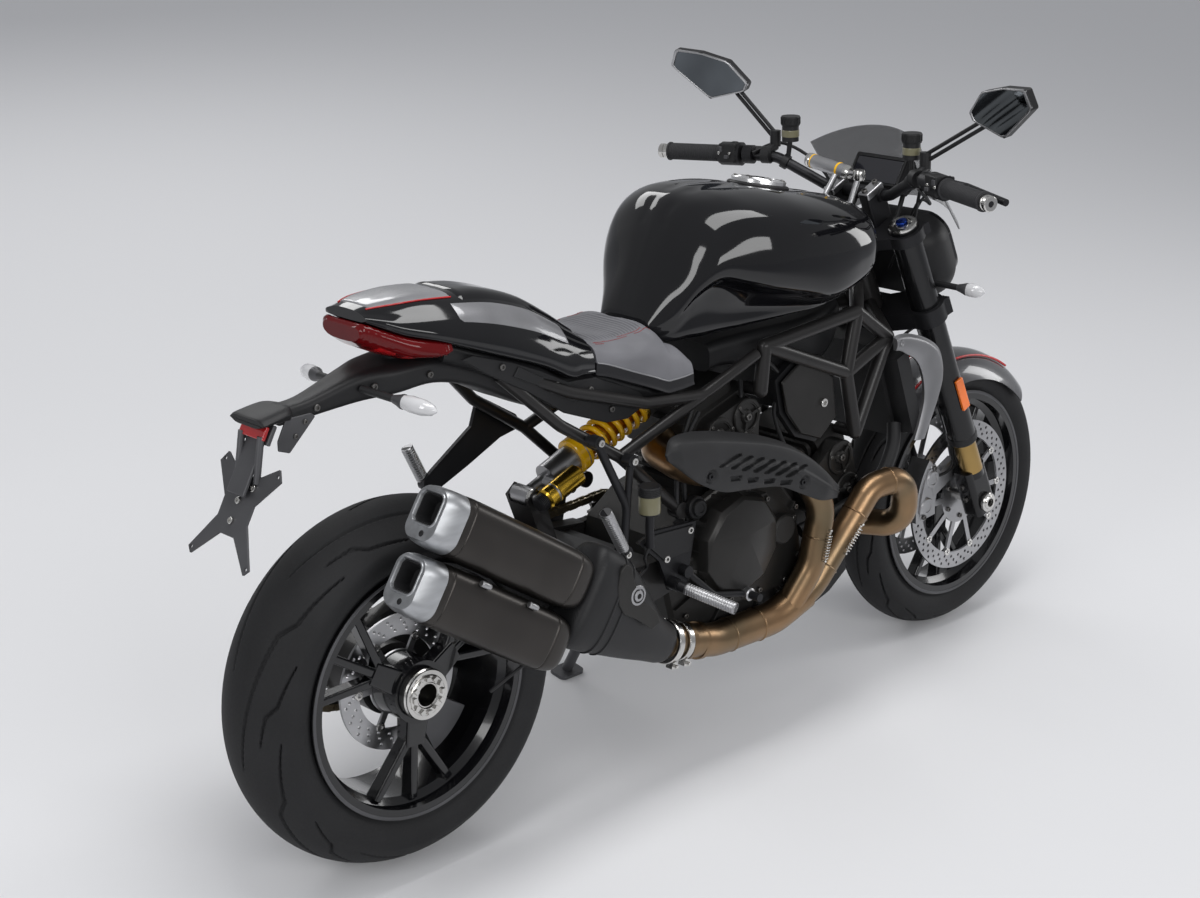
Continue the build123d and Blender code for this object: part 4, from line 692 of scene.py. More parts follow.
capLook = {"tilt": radians(12), "neck": (925, 0, 1052), "seat": 6.3, "hinge": (56, 4.5),
           "bolts": 8, "boltCircle": 49, "boltRise": 9}
capUp = Vector((sin(capLook["tilt"]), 0, cos(capLook["tilt"])))
capAhead = Vector((capUp.z, 0, -capUp.x))
capBase = Vector(capLook["neck"]) + capUp * capLook["seat"]
hinge = capBase + capAhead * capLook["hinge"][0] + capUp * capLook["hinge"][1]
addPiece("fillerNeck", lathe([(-8, 60), (3, 60), (6, 57), (6, 55.5), (4.5, 55), (4.5, 34), (-6, 30), (-7, 0.5)],
                             capLook["neck"], capUp, 64), "mouldedBlack", smooth=30)
addPiece("fillerLid", combine(lathe([(0, 53), (6.5, 53), (9, 50.5), (9, 45), (10.5, 44), (10.5, 34), (9, 33),
                                     (8.4, 20), (8.8, 0.4)], capBase, capUp, 64),
                              roundBar(hinge - left * 11, hinge + left * 11, 4.5),
                              frameBox(hinge - capAhead * 5, capAhead, left, (8, 21, 8))),
         "capSilver", "fuel_cap", ["filler_cap"], smooth=30)
addPiece("fillerKeyFlap", combine(lathe([(9.0, 12), (11.4, 12), (12, 11), (12, 0.4)], capBase, capUp, 24),
                                  frameBox(capBase + capUp * 10.6 - capAhead * 18, capAhead, left, (26, 15, 2.4))),
         "mouldedBlack", "fuel_cap", bevel=0.6)
capTurns = [radians(22.5 + 360 / capLook["bolts"] * step) for step in range(capLook["bolts"])]
boltMiddle = capBase + capUp * capLook["boltRise"]
addBolts("fillerBolts", 3.0, 2.0, [(boltMiddle + (capAhead * cos(turn) + left * sin(turn))
                                    * capLook["boltCircle"], capUp) for turn in capTurns], body="fuel_cap")
print("tank ready")

# ---- seat: foam puffed by cloth, then ribs, seams, stitches, painted shade in the rib grooves, a dark lower band and its piping
seatStations = [
    (398, [(0, 867), (56, 865), (94, 857), (106, 838), (105, 812), (96, 807), (0, 806)]),
    (424, [(0, 860), (60, 859), (102, 852), (114, 832), (112, 806), (104, 799), (0, 798)]),
    (470, [(0, 855), (62, 855), (108, 850), (124, 828), (122, 790), (112, 780), (0, 778)]),
    (515, [(0, 862), (62, 861), (110, 853), (129, 826), (128, 772), (118, 762), (0, 760)]),
    (548, [(0, 865), (58, 864), (102, 852), (128, 820), (128, 758), (118, 748), (0, 745)]),
    (564, [(0, 818), (60, 818), (96, 834), (127, 812), (128, 756), (118, 746), (0, 745)]),
    (592, [(0, 812), (60, 812), (98, 822), (125, 804), (128, 756), (118, 746), (0, 745)]),
    (619, [(0, 790), (60, 790), (100, 794), (121, 788), (127, 757), (117, 747), (0, 746)]),
]
# paintedGrooveShade: how much the rib grooves are darkened in colour, a painted shade
seatLook = {"along": 300, "around": 44, "middle": (500, 0, 800), "ribPitch": 7.5, "ribHeight": 2.0, "ribHalf": 78,
            "ribsFrom": 412, "ribsTo": 548, "ribEnds": 4, "ribSides": 3, "topFrom": 0.6, "topBlend": 0.2,
            "seam": 1.4, "seamBeside": 3, "seamHalf": 2.2, "stitchBeside": (4, 9), "stitchFrom": 414, "stitchTo": 546,
            "stitchLift": 0.3, "paintedGrooveShade": 0.85, "band": 24, "edgeFrom": 0.75, "piping": 1.5,
            "pressure": 4, "frames": 20, "most": 6, "clothAlong": 64, "clothAround": 26, "freeFrom": 406, "freeTo": 556}


def puffedBy(look):  # how far the foam swells when cloth is blown up over the pan, in mm on the fine grid
    coarse = sectionGrid(seatStations, look["clothAlong"], look["clothAround"])
    facing = gridNormals(coarse, look["middle"])
    rows, columns = coarse.shape[:2]
    mesh = bpy.data.meshes.new("seatTrial")
    mesh.from_pydata((coarse.reshape(-1, 3) / 1000).tolist(), [], closedForm(coarse)[1])
    form = bmesh.new()
    form.from_mesh(mesh)
    bmesh.ops.recalc_face_normals(form, faces=form.faces)
    form.to_mesh(mesh)
    form.free()
    trial = addObject("seatTrial", mesh)
    onPan = (facing[:, :, 2] < 0.1) | (coarse[:, :, 0] < look["freeFrom"]) | (coarse[:, :, 0] > look["freeTo"])
    trial.vertex_groups.new(name="onPan").add(np.flatnonzero(onPan.reshape(-1)).tolist(), 1, "REPLACE")
    cloth = trial.modifiers.new("puff", "CLOTH")
    cloth.settings.vertex_group_mass = "onPan"
    cloth.settings.use_pressure = True
    cloth.settings.uniform_pressure_force = look["pressure"]
    cloth.settings.effector_weights.gravity = 0
    cloth.collision_settings.use_collision = False
    for step in range(1, look["frames"] + 1):
        scene.frame_set(step)
    solved = trial.evaluated_get(bpy.context.evaluated_depsgraph_get()).data
    places = np.zeros(rows * columns * 3)
    solved.vertices.foreach_get("co", places)
    scene.frame_set(1)
    moved = places.reshape(rows, columns, 3) * 1000 - coarse
    length = np.linalg.norm(moved, axis=2, keepdims=True)
    moved *= np.minimum(1, look["most"] / np.maximum(length, 1e-6))
    bpy.data.objects.remove(trial)
    print("seat cloth swelled by up to", round(float(length.max()), 1), "mm")
    alongPlace = np.linspace(0, rows - 1, look["along"])
    roundPlace = np.arange(2 * look["around"]) * columns / (2 * look["around"])
    line, column = np.minimum(alongPlace.astype(int), rows - 2), roundPlace.astype(int)
    down, over = (alongPlace - line)[:, None, None], (roundPlace - column)[None, :, None]
    near, far = [moved[at][:, column] * (1 - over) + moved[at][:, (column + 1) % columns] * over
                 for at in (line, line + 1)]
    return near * (1 - down) + far * down


def seatPiping(grid, drop, look):  # where the dark band starts, along the right and left sides
    line = []
    for index in range(2, look["along"] - 2, 6):
        below = int(np.argmax(drop[index, :look["around"]] > 0))
        part = drop[index, below] / (drop[index, below] - drop[index, below - 1])
        line.append(tuple(grid[index, below] * (1 - part) + grid[index, below - 1] * part))
    return [line, [(x, -y, z) for x, y, z in line]]


def seatSeams(grid, look):  # two stitch lines beside the ribs, mirrored
    spots = []
    for offset in look["stitchBeside"]:
        line = []
        for index in range(0, look["along"], 2):
            half = grid[index, :look["around"]]
            if look["stitchFrom"] < half[0, 0] < look["stitchTo"]:
                spot = half[np.argmin(np.abs(half[:, 1] - look["ribHalf"] - offset))]
                line.append(Vector(spot) + Vector((0, 0, look["stitchLift"])))
        for here, there in list(zip(line, line[1:]))[::2]:
            way = (there - here).normalized()
            spots += [((here.x, side * here.y, here.z), (way.x, side * way.y, way.z)) for side in (-1, 1)]
    return spots


def makeSeat(look):
    grid = sectionGrid(seatStations, look["along"], look["around"]) + puffedBy(look)
    normals = gridNormals(grid, look["middle"])
    x, y, z = grid[:, :, 0], np.abs(grid[:, :, 1]), grid[:, :, 2]
    upward = smoothStep((normals[:, :, 2] - look["topFrom"]) / look["topBlend"])
    wave = np.abs(np.sin(pi * x / look["ribPitch"]))
    field = (upward * smoothStep((look["ribHalf"] - y) / look["ribSides"])
             * smoothStep((x - look["ribsFrom"]) / look["ribEnds"])
             * smoothStep((look["ribsTo"] - x) / look["ribEnds"]))
    relief = look["ribHeight"] * (wave - 0.5) * field
    beside = np.abs(y - look["ribHalf"] - look["seamBeside"])
    relief -= look["seam"] * smoothStep(1 - beside / look["seamHalf"]) * upward
    lowest = np.where(y > look["edgeFrom"] * y.max(axis=1, keepdims=True), z, 9e3).min(axis=1, keepdims=True)
    drop = lowest + look["band"] - z
    grid = grid + normals * relief[:, :, None]
    seat = addPiece("riderSeat", closedForm(grid), "seatGrey", "chassis", ["rider_seat"], smooth=70)
    # painted shade: the shade attribute darkens the seat's rib grooves; drop marks its dark lower band
    for label, values in (("shade", (1 - wave) ** 2 * field * look["paintedGrooveShade"]), ("drop", drop)):
        seat.data.attributes.new(label, "FLOAT", "POINT").data.foreach_set("value", values.reshape(-1))
    addPaths("seatPiping", seatPiping(grid, drop, look), look["piping"], "silverPaint", sides=8)
    stitch = lathe([(-1.6, 0.3), (-1.2, 0.65), (1.2, 0.65), (1.6, 0.3)], centre, upright, 6)
    addCopies("seatStitches", stitch, seatSeams(grid, look), "threadRed")


makeSeat(seatLook)
print("seat ready")

# ---- tail
tailStations = [
    (392, [(0, 880), (58, 876), (92, 862), (106, 842), (108, 822), (100, 811), (0, 808)]),
    (360, [(0, 903), (54, 899), (92, 878), (111, 850), (113, 828), (104, 815), (0, 811)]),
    (330, [(0, 925), (50, 921), (92, 894), (114, 858), (117, 832), (106, 818), (0, 814)]),
    (270, [(0, 961), (50, 957), (92, 926), (118, 884), (121, 862), (108, 850), (0, 846)]),
    (200, [(0, 985), (50, 982), (92, 950), (117, 912), (119, 890), (106, 878), (0, 874)]),
    (140, [(0, 996), (50, 992), (90, 964), (113, 932), (115, 912), (102, 901), (0, 898)]),
    (60, [(0, 1004), (50, 1000), (84, 976), (103, 954), (105, 940), (92, 932), (0, 930)]),
    (0, [(0, 1003), (44, 1000), (72, 984), (88, 970), (90, 958), (80, 951), (0, 948)]),
    (-30, [(0, 1000), (36, 998), (58, 988), (74, 980), (76, 971), (68, 965), (0, 963)]),
    (-55, [(0, 995), (26, 994), (42, 990), (52, 986), (54, 982), (48, 978), (0, 977)]),
]
tailLook = {"along": 150, "around": 40, "middle": (180, 0, 930), "lineLift": 0.8, "lineRange": (-44, 126),
            "lineColumns": (8, -8), "lineRadius": 1.5}
patchFit = {"edge": 1.6, "under": 1.5}
# each panel: x range, first and last column round the tail, how far it stands up, finish
tailPanels = {"tailPad": ((130, 378), (-9, 9), 3.0, "glossBlack"),
              "tailPadRear": ((-38, 118), (-8, 8), 2.0, "silverPaint"),
              "tailHumpLeft": ((104, 338), (10, 16), 2.2, "silverPaint"),
              "tailScoopLeft": ((206, 262), (12, 14), 3.0, "mattBlack"),
              "tailHumpRight": ((104, 338), (-16, -10), 2.2, "silverPaint"),
              "tailScoopRight": ((206, 262), (-14, -12), 3.0, "mattBlack")}


def skinPatch(name, grid, normals, xRange, columns, lift, finish):  # a panel that stands up from a skin
    lines = [index for index, x in enumerate(grid[:, 0, 0]) if min(xRange) <= x <= max(xRange)]
    columns = [column % grid.shape[1] for column in range(columns[0], columns[1] + 1)]
    patch, facing = grid[lines][:, columns], normals[lines][:, columns]
    lineEdge, columnEdge = [np.minimum(np.arange(count), np.arange(count)[::-1]) for count in patch.shape[:2]]
    rise = lift * smoothStep(np.minimum.outer(lineEdge, columnEdge) / patchFit["edge"])
    addPiece(name, sheetForm(patch + facing * rise[:, :, None], patch - facing * patchFit["under"]), finish, smooth=45)


def makeTail(look):
    grid = sectionGrid(tailStations, look["along"], look["around"])
    normals = gridNormals(grid, look["middle"])
    addPiece("tailShell", closedForm(grid), "glossBlack", "chassis", ["tail_cowl"], smooth=50)
    for name, (xRange, columns, lift, finish) in tailPanels.items():
        skinPatch(name, grid, normals, xRange, columns, lift, finish)
    rear, front = look["lineRange"]
    lines = [[tuple(grid[index, column] + normals[index, column] * look["lineLift"])
              for index in range(0, look["along"], 4) if rear < grid[index, column, 0] < front]
             for column in look["lineColumns"]]
    addPaths("tailRedLine", lines, look["lineRadius"], "redPaint", sides=8, steps=3)


makeTail(tailLook)

lampStations = [
    (78, [(0, 930), (60, 929), (98, 928), (105, 922), (103, 914), (60, 905), (0, 904)]),
    (60, [(0, 936), (60, 935), (97, 933), (105, 924), (103, 910), (60, 904), (0, 903)]),
    (10, [(0, 947), (58, 946), (88, 946), (98, 934), (92, 917), (56, 908), (0, 907)]),
    (-30, [(0, 962), (50, 962), (70, 963), (81, 952), (74, 934), (46, 924), (0, 922)]),
    (-56, [(0, 975), (38, 975), (50, 975), (60, 966), (56, 950), (36, 940), (0, 938)]),
    (-66, [(0, 970), (30, 970), (40, 970), (48, 964), (46, 954), (30, 946), (0, 944)]),
]
tailLampLook = {"along": 60, "around": 26, "middle": (0, 0, 930), "glowLift": 0.9, "flute": 0.8, "flutePitch": 9,
                "flutesBeyond": 30, "fluteBlend": 8,
                "glows": {"Left": (18, 28), "Right": (24, 34)}, "strips": ((-40, -12), (-4, 22), (30, 54))}


def makeTailLamp(look):
    grid = sectionGrid(lampStations, look["along"], look["around"])
    normals = gridNormals(grid, look["middle"])
    wave = np.abs(np.sin(grid[:, :, 0] * pi / look["flutePitch"])) - 0.5
    flutes = look["flute"] * wave * smoothStep((np.abs(grid[:, :, 1]) - look["flutesBeyond"]) / look["fluteBlend"])
    grid = grid + normals * flutes[:, :, None]
    addPiece("tailLens", closedForm(grid), "lensDeep", "chassis", ["tail_light"], smooth=30)
    for label, columns in look["glows"].items():
        for strip, xRange in enumerate(look["strips"]):
            skinPatch(f"tailGlow{label}{strip}", grid, normals, xRange, columns, look["glowLift"], "lensRed")


makeTailLamp(tailLampLook)

# the tray under the tail: tray, hood over the plate and the fill up to seat and tail; x, half, low, high
trayForms = {
    60: ((318, 84, 752, 790), (250, 74, 780, 822), (160, 64, 826, 866), (76, 66, 850, 894), (0, 58, 846, 894),
         (-60, 36, 842, 888), (-150, 24, 834, 864), (-206, 24, 832, 860)),
    24: ((-188, 24, 836, 862), (-206, 42, 842, 864), (-250, 46, 841, 858), (-259, 44, 842, 855)),
    40: ((612, 92, 716, 746), (548, 106, 722, 752), (515, 108, 728, 768), (470, 106, 746, 786),
         (424, 100, 760, 806), (392, 96, 764, 812), (330, 98, 776, 820), (270, 104, 806, 852),
         (200, 98, 838, 880), (140, 88, 862, 904), (86, 74, 884, 926)),
}


def trayOutline(half, low, high):
    return [(0, high), (half * 0.72, high), (half, high - 7), (half, (low + high) / 2), (half * 0.92, low + 5),
            (half * 0.6, low), (0, low)]


trayParts = [closedForm(sectionGrid([(x, trayOutline(*sizes)) for x, *sizes in stations], count, 20))
             for count, stations in trayForms.items()]
addPiece("underTray", combine(*trayParts, roundBar((40, 0, 880), (40, 0, 903), 20)), "mouldedBlack", "chassis",
         ["undertray"], smooth=40)
print("tail ready")

# ---- silencers and their caps; places are along, side and up from each silencer's rear end
silencerWay, silencerUp = Vector((0.836, 0, -0.548)), Vector((0.548, 0, 0.836))
silencerEnds = {"Upper": (Vector((-58, -192, 690)), 380), "Lower": (Vector((-108, -192, 588)), 372)}
silencerHalf = np.array([(0, 53), (22, 52.4), (37, 45), (44, 30), (46, 2), (45, -26), (38, -44), (22, -52), (0, -53)])
capRings = [  # along, half width, half height, corner, shift of the middle
    (46, 44, 51, 30, 0, 0), (44, 44.6, 51.6, 30, 0, 0), (18, 42.5, 50, 28, 1, 0.5), (3, 38, 46, 24, 2, 1),
    (0, 36, 44, 22, 2, 1), (0, 31, 30.5, 14, 3, 10), (-1.4, 30, 29.5, 13.5, 3, 10), (-1.4, 28, 27.5, 12.5, 3, 10),
    (1, 27, 26.5, 12, 3, 10), (38, 22, 21, 9, 3, 10),
]
boreRings = [(37, 26, 25.4, 11, 3, 10), (5, 26, 25.4, 11, 3, 10), (5, 24.4, 23.8, 11, 3, 10), (33, 20, 19, 11, 3, 10)]


def onSilencer(end, along, side, up):
    return end + silencerWay * along + left * side + silencerUp * up


def roundedRing(halfSide, halfUp, corner, steps=12, shift=(0, 0)):
    ring = []
    for quarter, (signSide, signUp) in enumerate(((1, 1), (-1, 1), (-1, -1), (1, -1))):
        for step in range(steps):
            turn = radians(90 * quarter + 90 * step / (steps - 1))
            ring.append((shift[0] + signSide * (halfSide - corner) + corner * cos(turn),
                         shift[1] + signUp * (halfUp - corner) + corner * sin(turn)))
    return ring


def makeSilencer(label, end, length):
    stations = [(along, silencerHalf * scale) for along, scale in
                ((46.4, 0.955), (62, 0.99), (110, 1.0), (length - 110, 1.0), (length - 50, 0.98),
                 (length - 18, 0.9), (length - 4, 0.78), (length, 0.66))]
    local = sectionGrid(stations, 150, 40)
    relief = sum(-depth * smoothStep(1 - np.abs(local[:, :, 0] - seam) / 2.4)
                 for seam, depth in ((60, 1.2), (length - 46, 1.8)))
    local = local + gridNormals(local, (length / 2, 0, 0)) * relief[:, :, None]
    form = closedForm(local @ np.array([silencerWay, left, silencerUp]) + np.array(end))
    addPiece("silencer" + label, form, "silencerDark", "chassis", ["silencers"], smooth=50)
    cap, bore = [ringLoft([[onSilencer(end, along, *spot) for spot in roundedRing(half, rise, corner, 12, shift)]
                           for along, half, rise, corner, *shift in rings]) for rings in (capRings, boreRings)]
    addPiece("silencerCap" + label, cap, "brushedAluminium", "chassis", ["silencer_caps"], smooth=32)
    addPiece("outletBore" + label, bore, "mattBlack", smooth=32)
    addBolts("capDimple" + label, 5.5, 1.2, [(onSilencer(end, 0.2, -6, -32), -silencerWay)], "mattBlack")


for label, (end, length) in silencerEnds.items():
    makeSilencer(label, end, length)

# the cover that joins the silencers: centre, rise and depth of each ring
coverStations = [((246, -192, 470), 92, 44), ((262, -192, 462), 97, 47), ((300, -190, 440), 95, 47),
                 ((350, -186, 405), 84, 45), ((400, -178, 358), 62, 43), ((450, -168, 318), 45, 41),
                 ((488, -160, 294), 40.5, 40.5), ((500, -159, 289), 39, 39)]


coverShape = {"sides": 56, "tallFrom": 60, "tallPower": 0.62, "lowPower": 0.85}  # squarer where it is tall


def softPower(value, power):
    return copysign(abs(value) ** power, value)


def coverRing(middle, rise, depth, look):
    power = look["tallPower" if rise > look["tallFrom"] else "lowPower"]
    turns = [2 * pi * step / look["sides"] for step in range(look["sides"])]
    return [Vector(middle) + silencerUp * (softPower(sin(turn), power) * rise)
            + left * (softPower(cos(turn), power) * depth) for turn in turns]


coverRings = [coverRing(*station, coverShape) for station in coverStations]
addPiece("silencerCover", ringLoft(coverRings), "mouldedBlack", subdivide=1)
coverMiddle = Vector((320, -188, 428))
beadPaths = [[tuple(coverMiddle + (coverRings[2][step].lerp(coverRings[3][step], level) - coverMiddle) * 1.002)
              for step in range(15, 42)] for level in (0.2, 0.62)]
addPaths("coverBeads", beadPaths, 2.0, "mouldedBlack", sides=10, steps=3)
addPiece("coverBoss", lathe([(0, 19), (6, 19), (8, 17), (8, 13.5), (4, 13), (4, 11), (9, 10), (10, 9), (10, 5),
                             (5, 4.5), (5, 0.4)], (366, -230, 440), right, 36), "satinAluminium", smooth=30)
hangerOutline = [(318, 470), (326, 496), (340, 506), (352, 498), (360, 462), (384, 424), (412, 396), (420, 374),
                 (400, 366), (366, 394), (332, 414), (320, 436)]
addPiece("silencerHanger", flatPlate(hangerOutline, -230, -237.5), "castGrey", bevel=2.5, segments=3)
clipSpots = [(onSilencer(silencerEnds["Upper"][0], along, -22, -56) + Vector((-14, -22, -4)), silencerWay)
             for along in (150, 270)]
addCopies("silencerClips", lathe([(-11, 0.4), (-11, 4.6), (-9, 5.6), (9, 5.6), (11, 4.6), (11, 0.4)], centre,
                                 upright, 12), clipSpots, "satinAluminium")

# ---- pipe clamps, welds and springs
clampLook = {"joint": (512, -158.2, 286.6), "way": (-0.961, -0.014, 0.275), "bore": 33, "rings": ((0, 42.5), (34, 37))}
pipeRadii = {"header": 27, "main": 32}
weldSpots = [("header", (872, -186, 511), (80, 0, -110)), ("header", (899, -183, 396), (-26, 6, -120)),
             ("header", (1105, -189, 459), (-94, 14, -6)), ("header", (1018, -178, 411), (-153, 16, -172)),
             ("header", (938, -169.5, 321), (-153, 16, -172)), ("main", (752, -159, 248.6), (-160, 4, 2)),
             ("main", (676, -157, 249.6), (-160, 4, 2))]
springSpans = [((1006, -209, 398), (962, -204, 348)), ((903, -216, 414), (890, -213, 354))]


def pipeClamp(look, distance, outer):
    way, bore = Vector(look["way"]), look["bore"]
    middle = Vector(look["joint"]) - way * distance
    tab = middle + Vector((0, -14, -outer))
    return combine(hoop([(-7, bore), (-7, outer - 1.5), (-5.5, outer), (5.5, outer), (7, outer - 1.5), (7, bore)],
                        middle, way, 48), frameBox(tab, way, left, (13, 16, 14)),
                   roundBar(tab + Vector((0, -16, -1)), tab + Vector((0, 16, -1)), 3.4))


def weldBead(kind, middle, way):
    reach = pipeRadii[kind]
    return hoop([(-2.4, reach - 1), (-1.3, reach + 1.1), (0, reach + 1.7), (1.3, reach + 1.1), (2.4, reach - 1)],
                middle, way, 44)


def springLine(start, end, coilRadius=4.6):  # straight to the coil, eight steps a turn, straight from it
    start, end = Vector(start), Vector(end)
    side, up = aroundAxis(end - start)[1:]
    coil = [start.lerp(end, step / 88) + (side * cos(step * pi / 4) + up * sin(step * pi / 4))
            * coilRadius for step in range(8, 81)]
    return [tuple(point) for point in [start] + coil + [end]]


addPiece("pipeClamps", combine(*[pipeClamp(clampLook, *ring) for ring in clampLook["rings"]]), "polishedSteel",
         smooth=30)
addPiece("weldBeads", combine(*[weldBead(*spot) for spot in weldSpots]), "heatBronze", smooth=40)
addPaths("pipeSprings", [springLine(*span) for span in springSpans], 1.2, "polishedSteel", sides=6, steps=1)
addPiece("springHooks", combine(*[roundBar(Vector(spot) + left * 10, Vector(spot) + right * 3, 2.6, 12)
                                  for span in springSpans for spot in span]), "polishedSteel", smooth=30)
print("silencers ready")

# ---- heat shield over the rear header: its two edges, (x, z)
shieldTop = [(462, 668), (484, 690), (530, 690), (592, 678), (660, 660), (726, 640), (790, 614), (842, 582),
             (886, 544), (928, 498)]
shieldLow = [(466, 658), (496, 634), (546, 596), (606, 566), (664, 556), (716, 548), (766, 536), (822, 508),
             (876, 482), (922, 476)]
shieldLook = {
    "along": 260, "across": 90, "face": -214, "back": -212, "thick": 5, "crown": 9, "crownPower": 3.2,
    "crownEnds": (8, 9), "wrap": 34, "wrapShare": 0.13, "crease": 3, "creaseHalf": 0.1, "pocketEdge": 1.8,
    "slots": [(584 + slot * 30, 622 - slot * 10.5) for slot in range(7)], "slotDepth": 8,
    "slotForm": [(0, -2), (12, -5), (62, 5), (60, 11), (46, 12), (2, 3)],
    "vents": [(630 + vent * 46, 588 - vent * 14) for vent in range(4)], "ventDepth": 7,
    "ventForm": [(-15, 8), (17, 2), (14, -8), (-12, -4)],
    "bolts": [(568, 606), (818, 534)], "boltPocket": 5, "boltReach": 15, "boltEdge": 4,
}


def makeShield(look):
    x, z, across = ruledGrid(shieldTop, shieldLow, look["along"], look["across"])
    share = np.linspace(0, 1, look["along"])[:, None]
    rounding = (1 - np.abs(2 * across - 1) ** look["crownPower"])[None, :]
    early, late = look["crownEnds"]
    face = look["face"] - look["crown"] * rounding * smoothStep(share * early) * smoothStep((1 - share) * late)
    wrapped = np.clip((look["wrapShare"] - across) / look["wrapShare"], 0, 1)[None, :]
    face += look["wrap"] * wrapped ** 2 * np.sin(share * pi)
    creased = smoothStep(1 - np.abs(across - 0.5) / look["creaseHalf"])[None, :]
    face -= look["crease"] * creased * smoothStep((share - 0.25) * early)
    relief = np.zeros_like(x)
    for kind in ("slot", "vent"):
        for px, pz in look[kind + "s"]:
            relief += sunk(x, z, [(px + dx, pz + dz) for dx, dz in look[kind + "Form"]], look[kind + "Depth"],
                           look["pocketEdge"])
    for px, pz in look["bolts"]:
        near = look["boltReach"] - np.hypot(x - px, z - pz)
        relief -= look["boltPocket"] * smoothStep(near / look["boltEdge"])
    outer = np.stack([x, face - relief, z], axis=2)
    inner = np.stack([x, np.maximum(face + look["thick"], look["back"]), z], axis=2)
    addPiece("heatShield", sheetForm(outer, inner), "shieldGrey", "chassis", ["heat_shield"], smooth=50)
    addBolts("shieldBolts", 6.5, 5, [((px, -216, pz), right) for px, pz in look["bolts"]], "anodisedBlack")


makeShield(shieldLook)

# ---- engine covers: the clutch lid has ten corners and three facets
clutchLook = {"middle": (689, 435), "peak": (685, -203, 458), "proud": 3, "proudCorners": (0, 2, 6),
              "firstCorner": 54, "bossCircle": 100, "firstBoss": 18, "bossFace": -137, "screwFace": -142.5,
              "rings": ((106, -120), (106, -132), (102.5, -138), (102.5, -168), (97, -184), (89, -189))}


def makeClutchLid(look):
    x, z = look["middle"]
    rings = [[spot for spot, way in circle((x, face, z), reach, 10, look["firstCorner"])]
             for reach, face in look["rings"]]
    for corner in look["proudCorners"]:
        cx, face, cz = rings[-1][corner]
        rings[-1][corner] = (cx, face - look["proud"], cz)
    points, faces = ringLoft(rings, (True, False))
    top = len(points) - 10
    faces += [(len(points), top + index, top + (index + 1) % 10) for index in range(10)]
    addPiece("clutchLid", (points + [look["peak"]], faces), "coverBlack", bevel=1.6)
    bosses, screws = [circle((x, look[face], z), look["bossCircle"], 10, look["firstBoss"], right)
                      for face in ("bossFace", "screwFace")]
    addPiece("clutchBolts", turned(*[([(0, 8.5), (4, 8.5), (6, 7), (6, 0.4)], spot, way, 16)
                                     for spot, way in bosses]), "coverBlack", smooth=30)
    addBolts("clutchScrews", 4.4, 4, screws)


makeClutchLid(clutchLook)
addPiece("oilPlug", lathe([(0, 22), (10, 22), (12, 20), (12, 17), (18, 16), (20, 14), (20, 9), (18, 8), (18, 0.4)],
                          (604, -140, 520), (0, -1, 0.1), 20), "mouldedBlack", smooth=25)

# belt covers: two spoked discs on each head, which stand at a right angle from the crank
crank = Vector((800, 0, 400))
beltLook = {"tilt": radians(17), "head": 256, "spread": 38, "face": -124.3,
            "disc": [(-2, 36), (3, 36), (5, 34), (5, 29), (1, 27), (0.5, 15), (4, 13), (5.5, 11), (5.5, 5), (3, 4.5),
                     (3, 0.4)], "screws": ((196, 48), (150, 40))}


def makeBeltCovers(look):
    forms, screws, centres = [], [], []
    c, s = cos(look["tilt"]), sin(look["tilt"])
    for way in (Vector((c, 0, s)), Vector((-s, 0, c))):
        cross = way.cross(left)
        for offset in (-look["spread"], look["spread"]):
            spot = crank + way * look["head"] + cross * offset + left * look["face"]
            forms.append(lathe(look["disc"], spot, right, 40))
            for turn in (radians(30 + 120 * spoke) for spoke in range(3)):
                ray = way * cos(turn) + cross * sin(turn)
                forms.append(frameBox(spot + ray * 20 + right * 3, ray, left, (17, 5, 6)))
                screws.append((spot + ray * 31.5 + right * 4.5, right))
            centres.append((spot + right * 5, right))
        screws += [(crank + way * reach + cross * side * off + right * 123.8, right)
                   for reach, off in look["screws"] for side in (-1, 1)]
    addPiece("beltDiscs", combine(*forms), "coverBlack", smooth=30)
    addBolts("beltScrews", 3.6, 3, screws)
    addBolts("beltCentres", 7, 4, centres)


makeBeltCovers(beltLook)

sideOutline = [(848, 704), (900, 735), (958, 717), (996, 686), (1007, 604), (960, 568), (904, 591), (863, 642)]
addPiece("airboxPanels", combine(flatPlate(sideOutline, -129, -137), flatPlate(sideOutline, 129, 137)),
         "coverBlack", bevel=6, segments=4)
addBolts("airboxBolts", 9, 6, [((966, side * 136, 641), (0, side, 0)) for side in (-1, 1)], "polishedSteel")

# crankcase: ribs (x and z of both ends), round bosses, bolts on two levels, and the left cover
caseRibs = ((640, 232, 700, 300), (700, 214, 740, 296), (780, 212, 800, 296), (850, 222, 850, 296),
            (912, 270, 884, 330), (560, 380, 600, 400), (572, 320, 622, 340), (900, 452, 880, 420))
caseBosses = [([(0, 26), (10, 26), (12, 24), (12, 18), (9, 17), (9, 0.4)], (868, -118, 300), 32),
              ([(0, 30), (16, 30), (20, 26), (20, 0.4)], (836, -140, 420), 36),
              ([(0, 18), (12, 18), (14, 16), (14, 0.4)], (700, -116, 252), 28)]
caseBoltRows = {-142.6: ((634, 342), (700, 312), (780, 308), (850, 310), (888, 352), (876, 430), (800, 488),
                         (720, 478), (648, 470)),
                -121: ((868, 320), (850, 292), (886, 292), (905, 380), (905, 440), (600, 300), (640, 260),
                       (720, 226), (800, 226))}
leftFace = 162.6
ribForms = [flatPlate([(x0 - 3, z0), (x0 + 3, z0), (x1 + 3, z1), (x1 - 3, z1)], -126, -116)
            for x0, z0, x1, z1 in caseRibs]
addPiece("caseDetails", combine(*ribForms, turned(*[(profile, spot, right, sides) for profile, spot, sides
                                                    in caseBosses])), "castGrey", bevel=1.2)
addPiece("leftLid", lathe([(-2, 56), (3, 56), (4.5, 54), (4.5, 44), (1, 42), (1, 18), (4, 16), (4, 0.4)],
                          crank + left * (leftFace + 9), left, 56), "coverBlack", smooth=25)
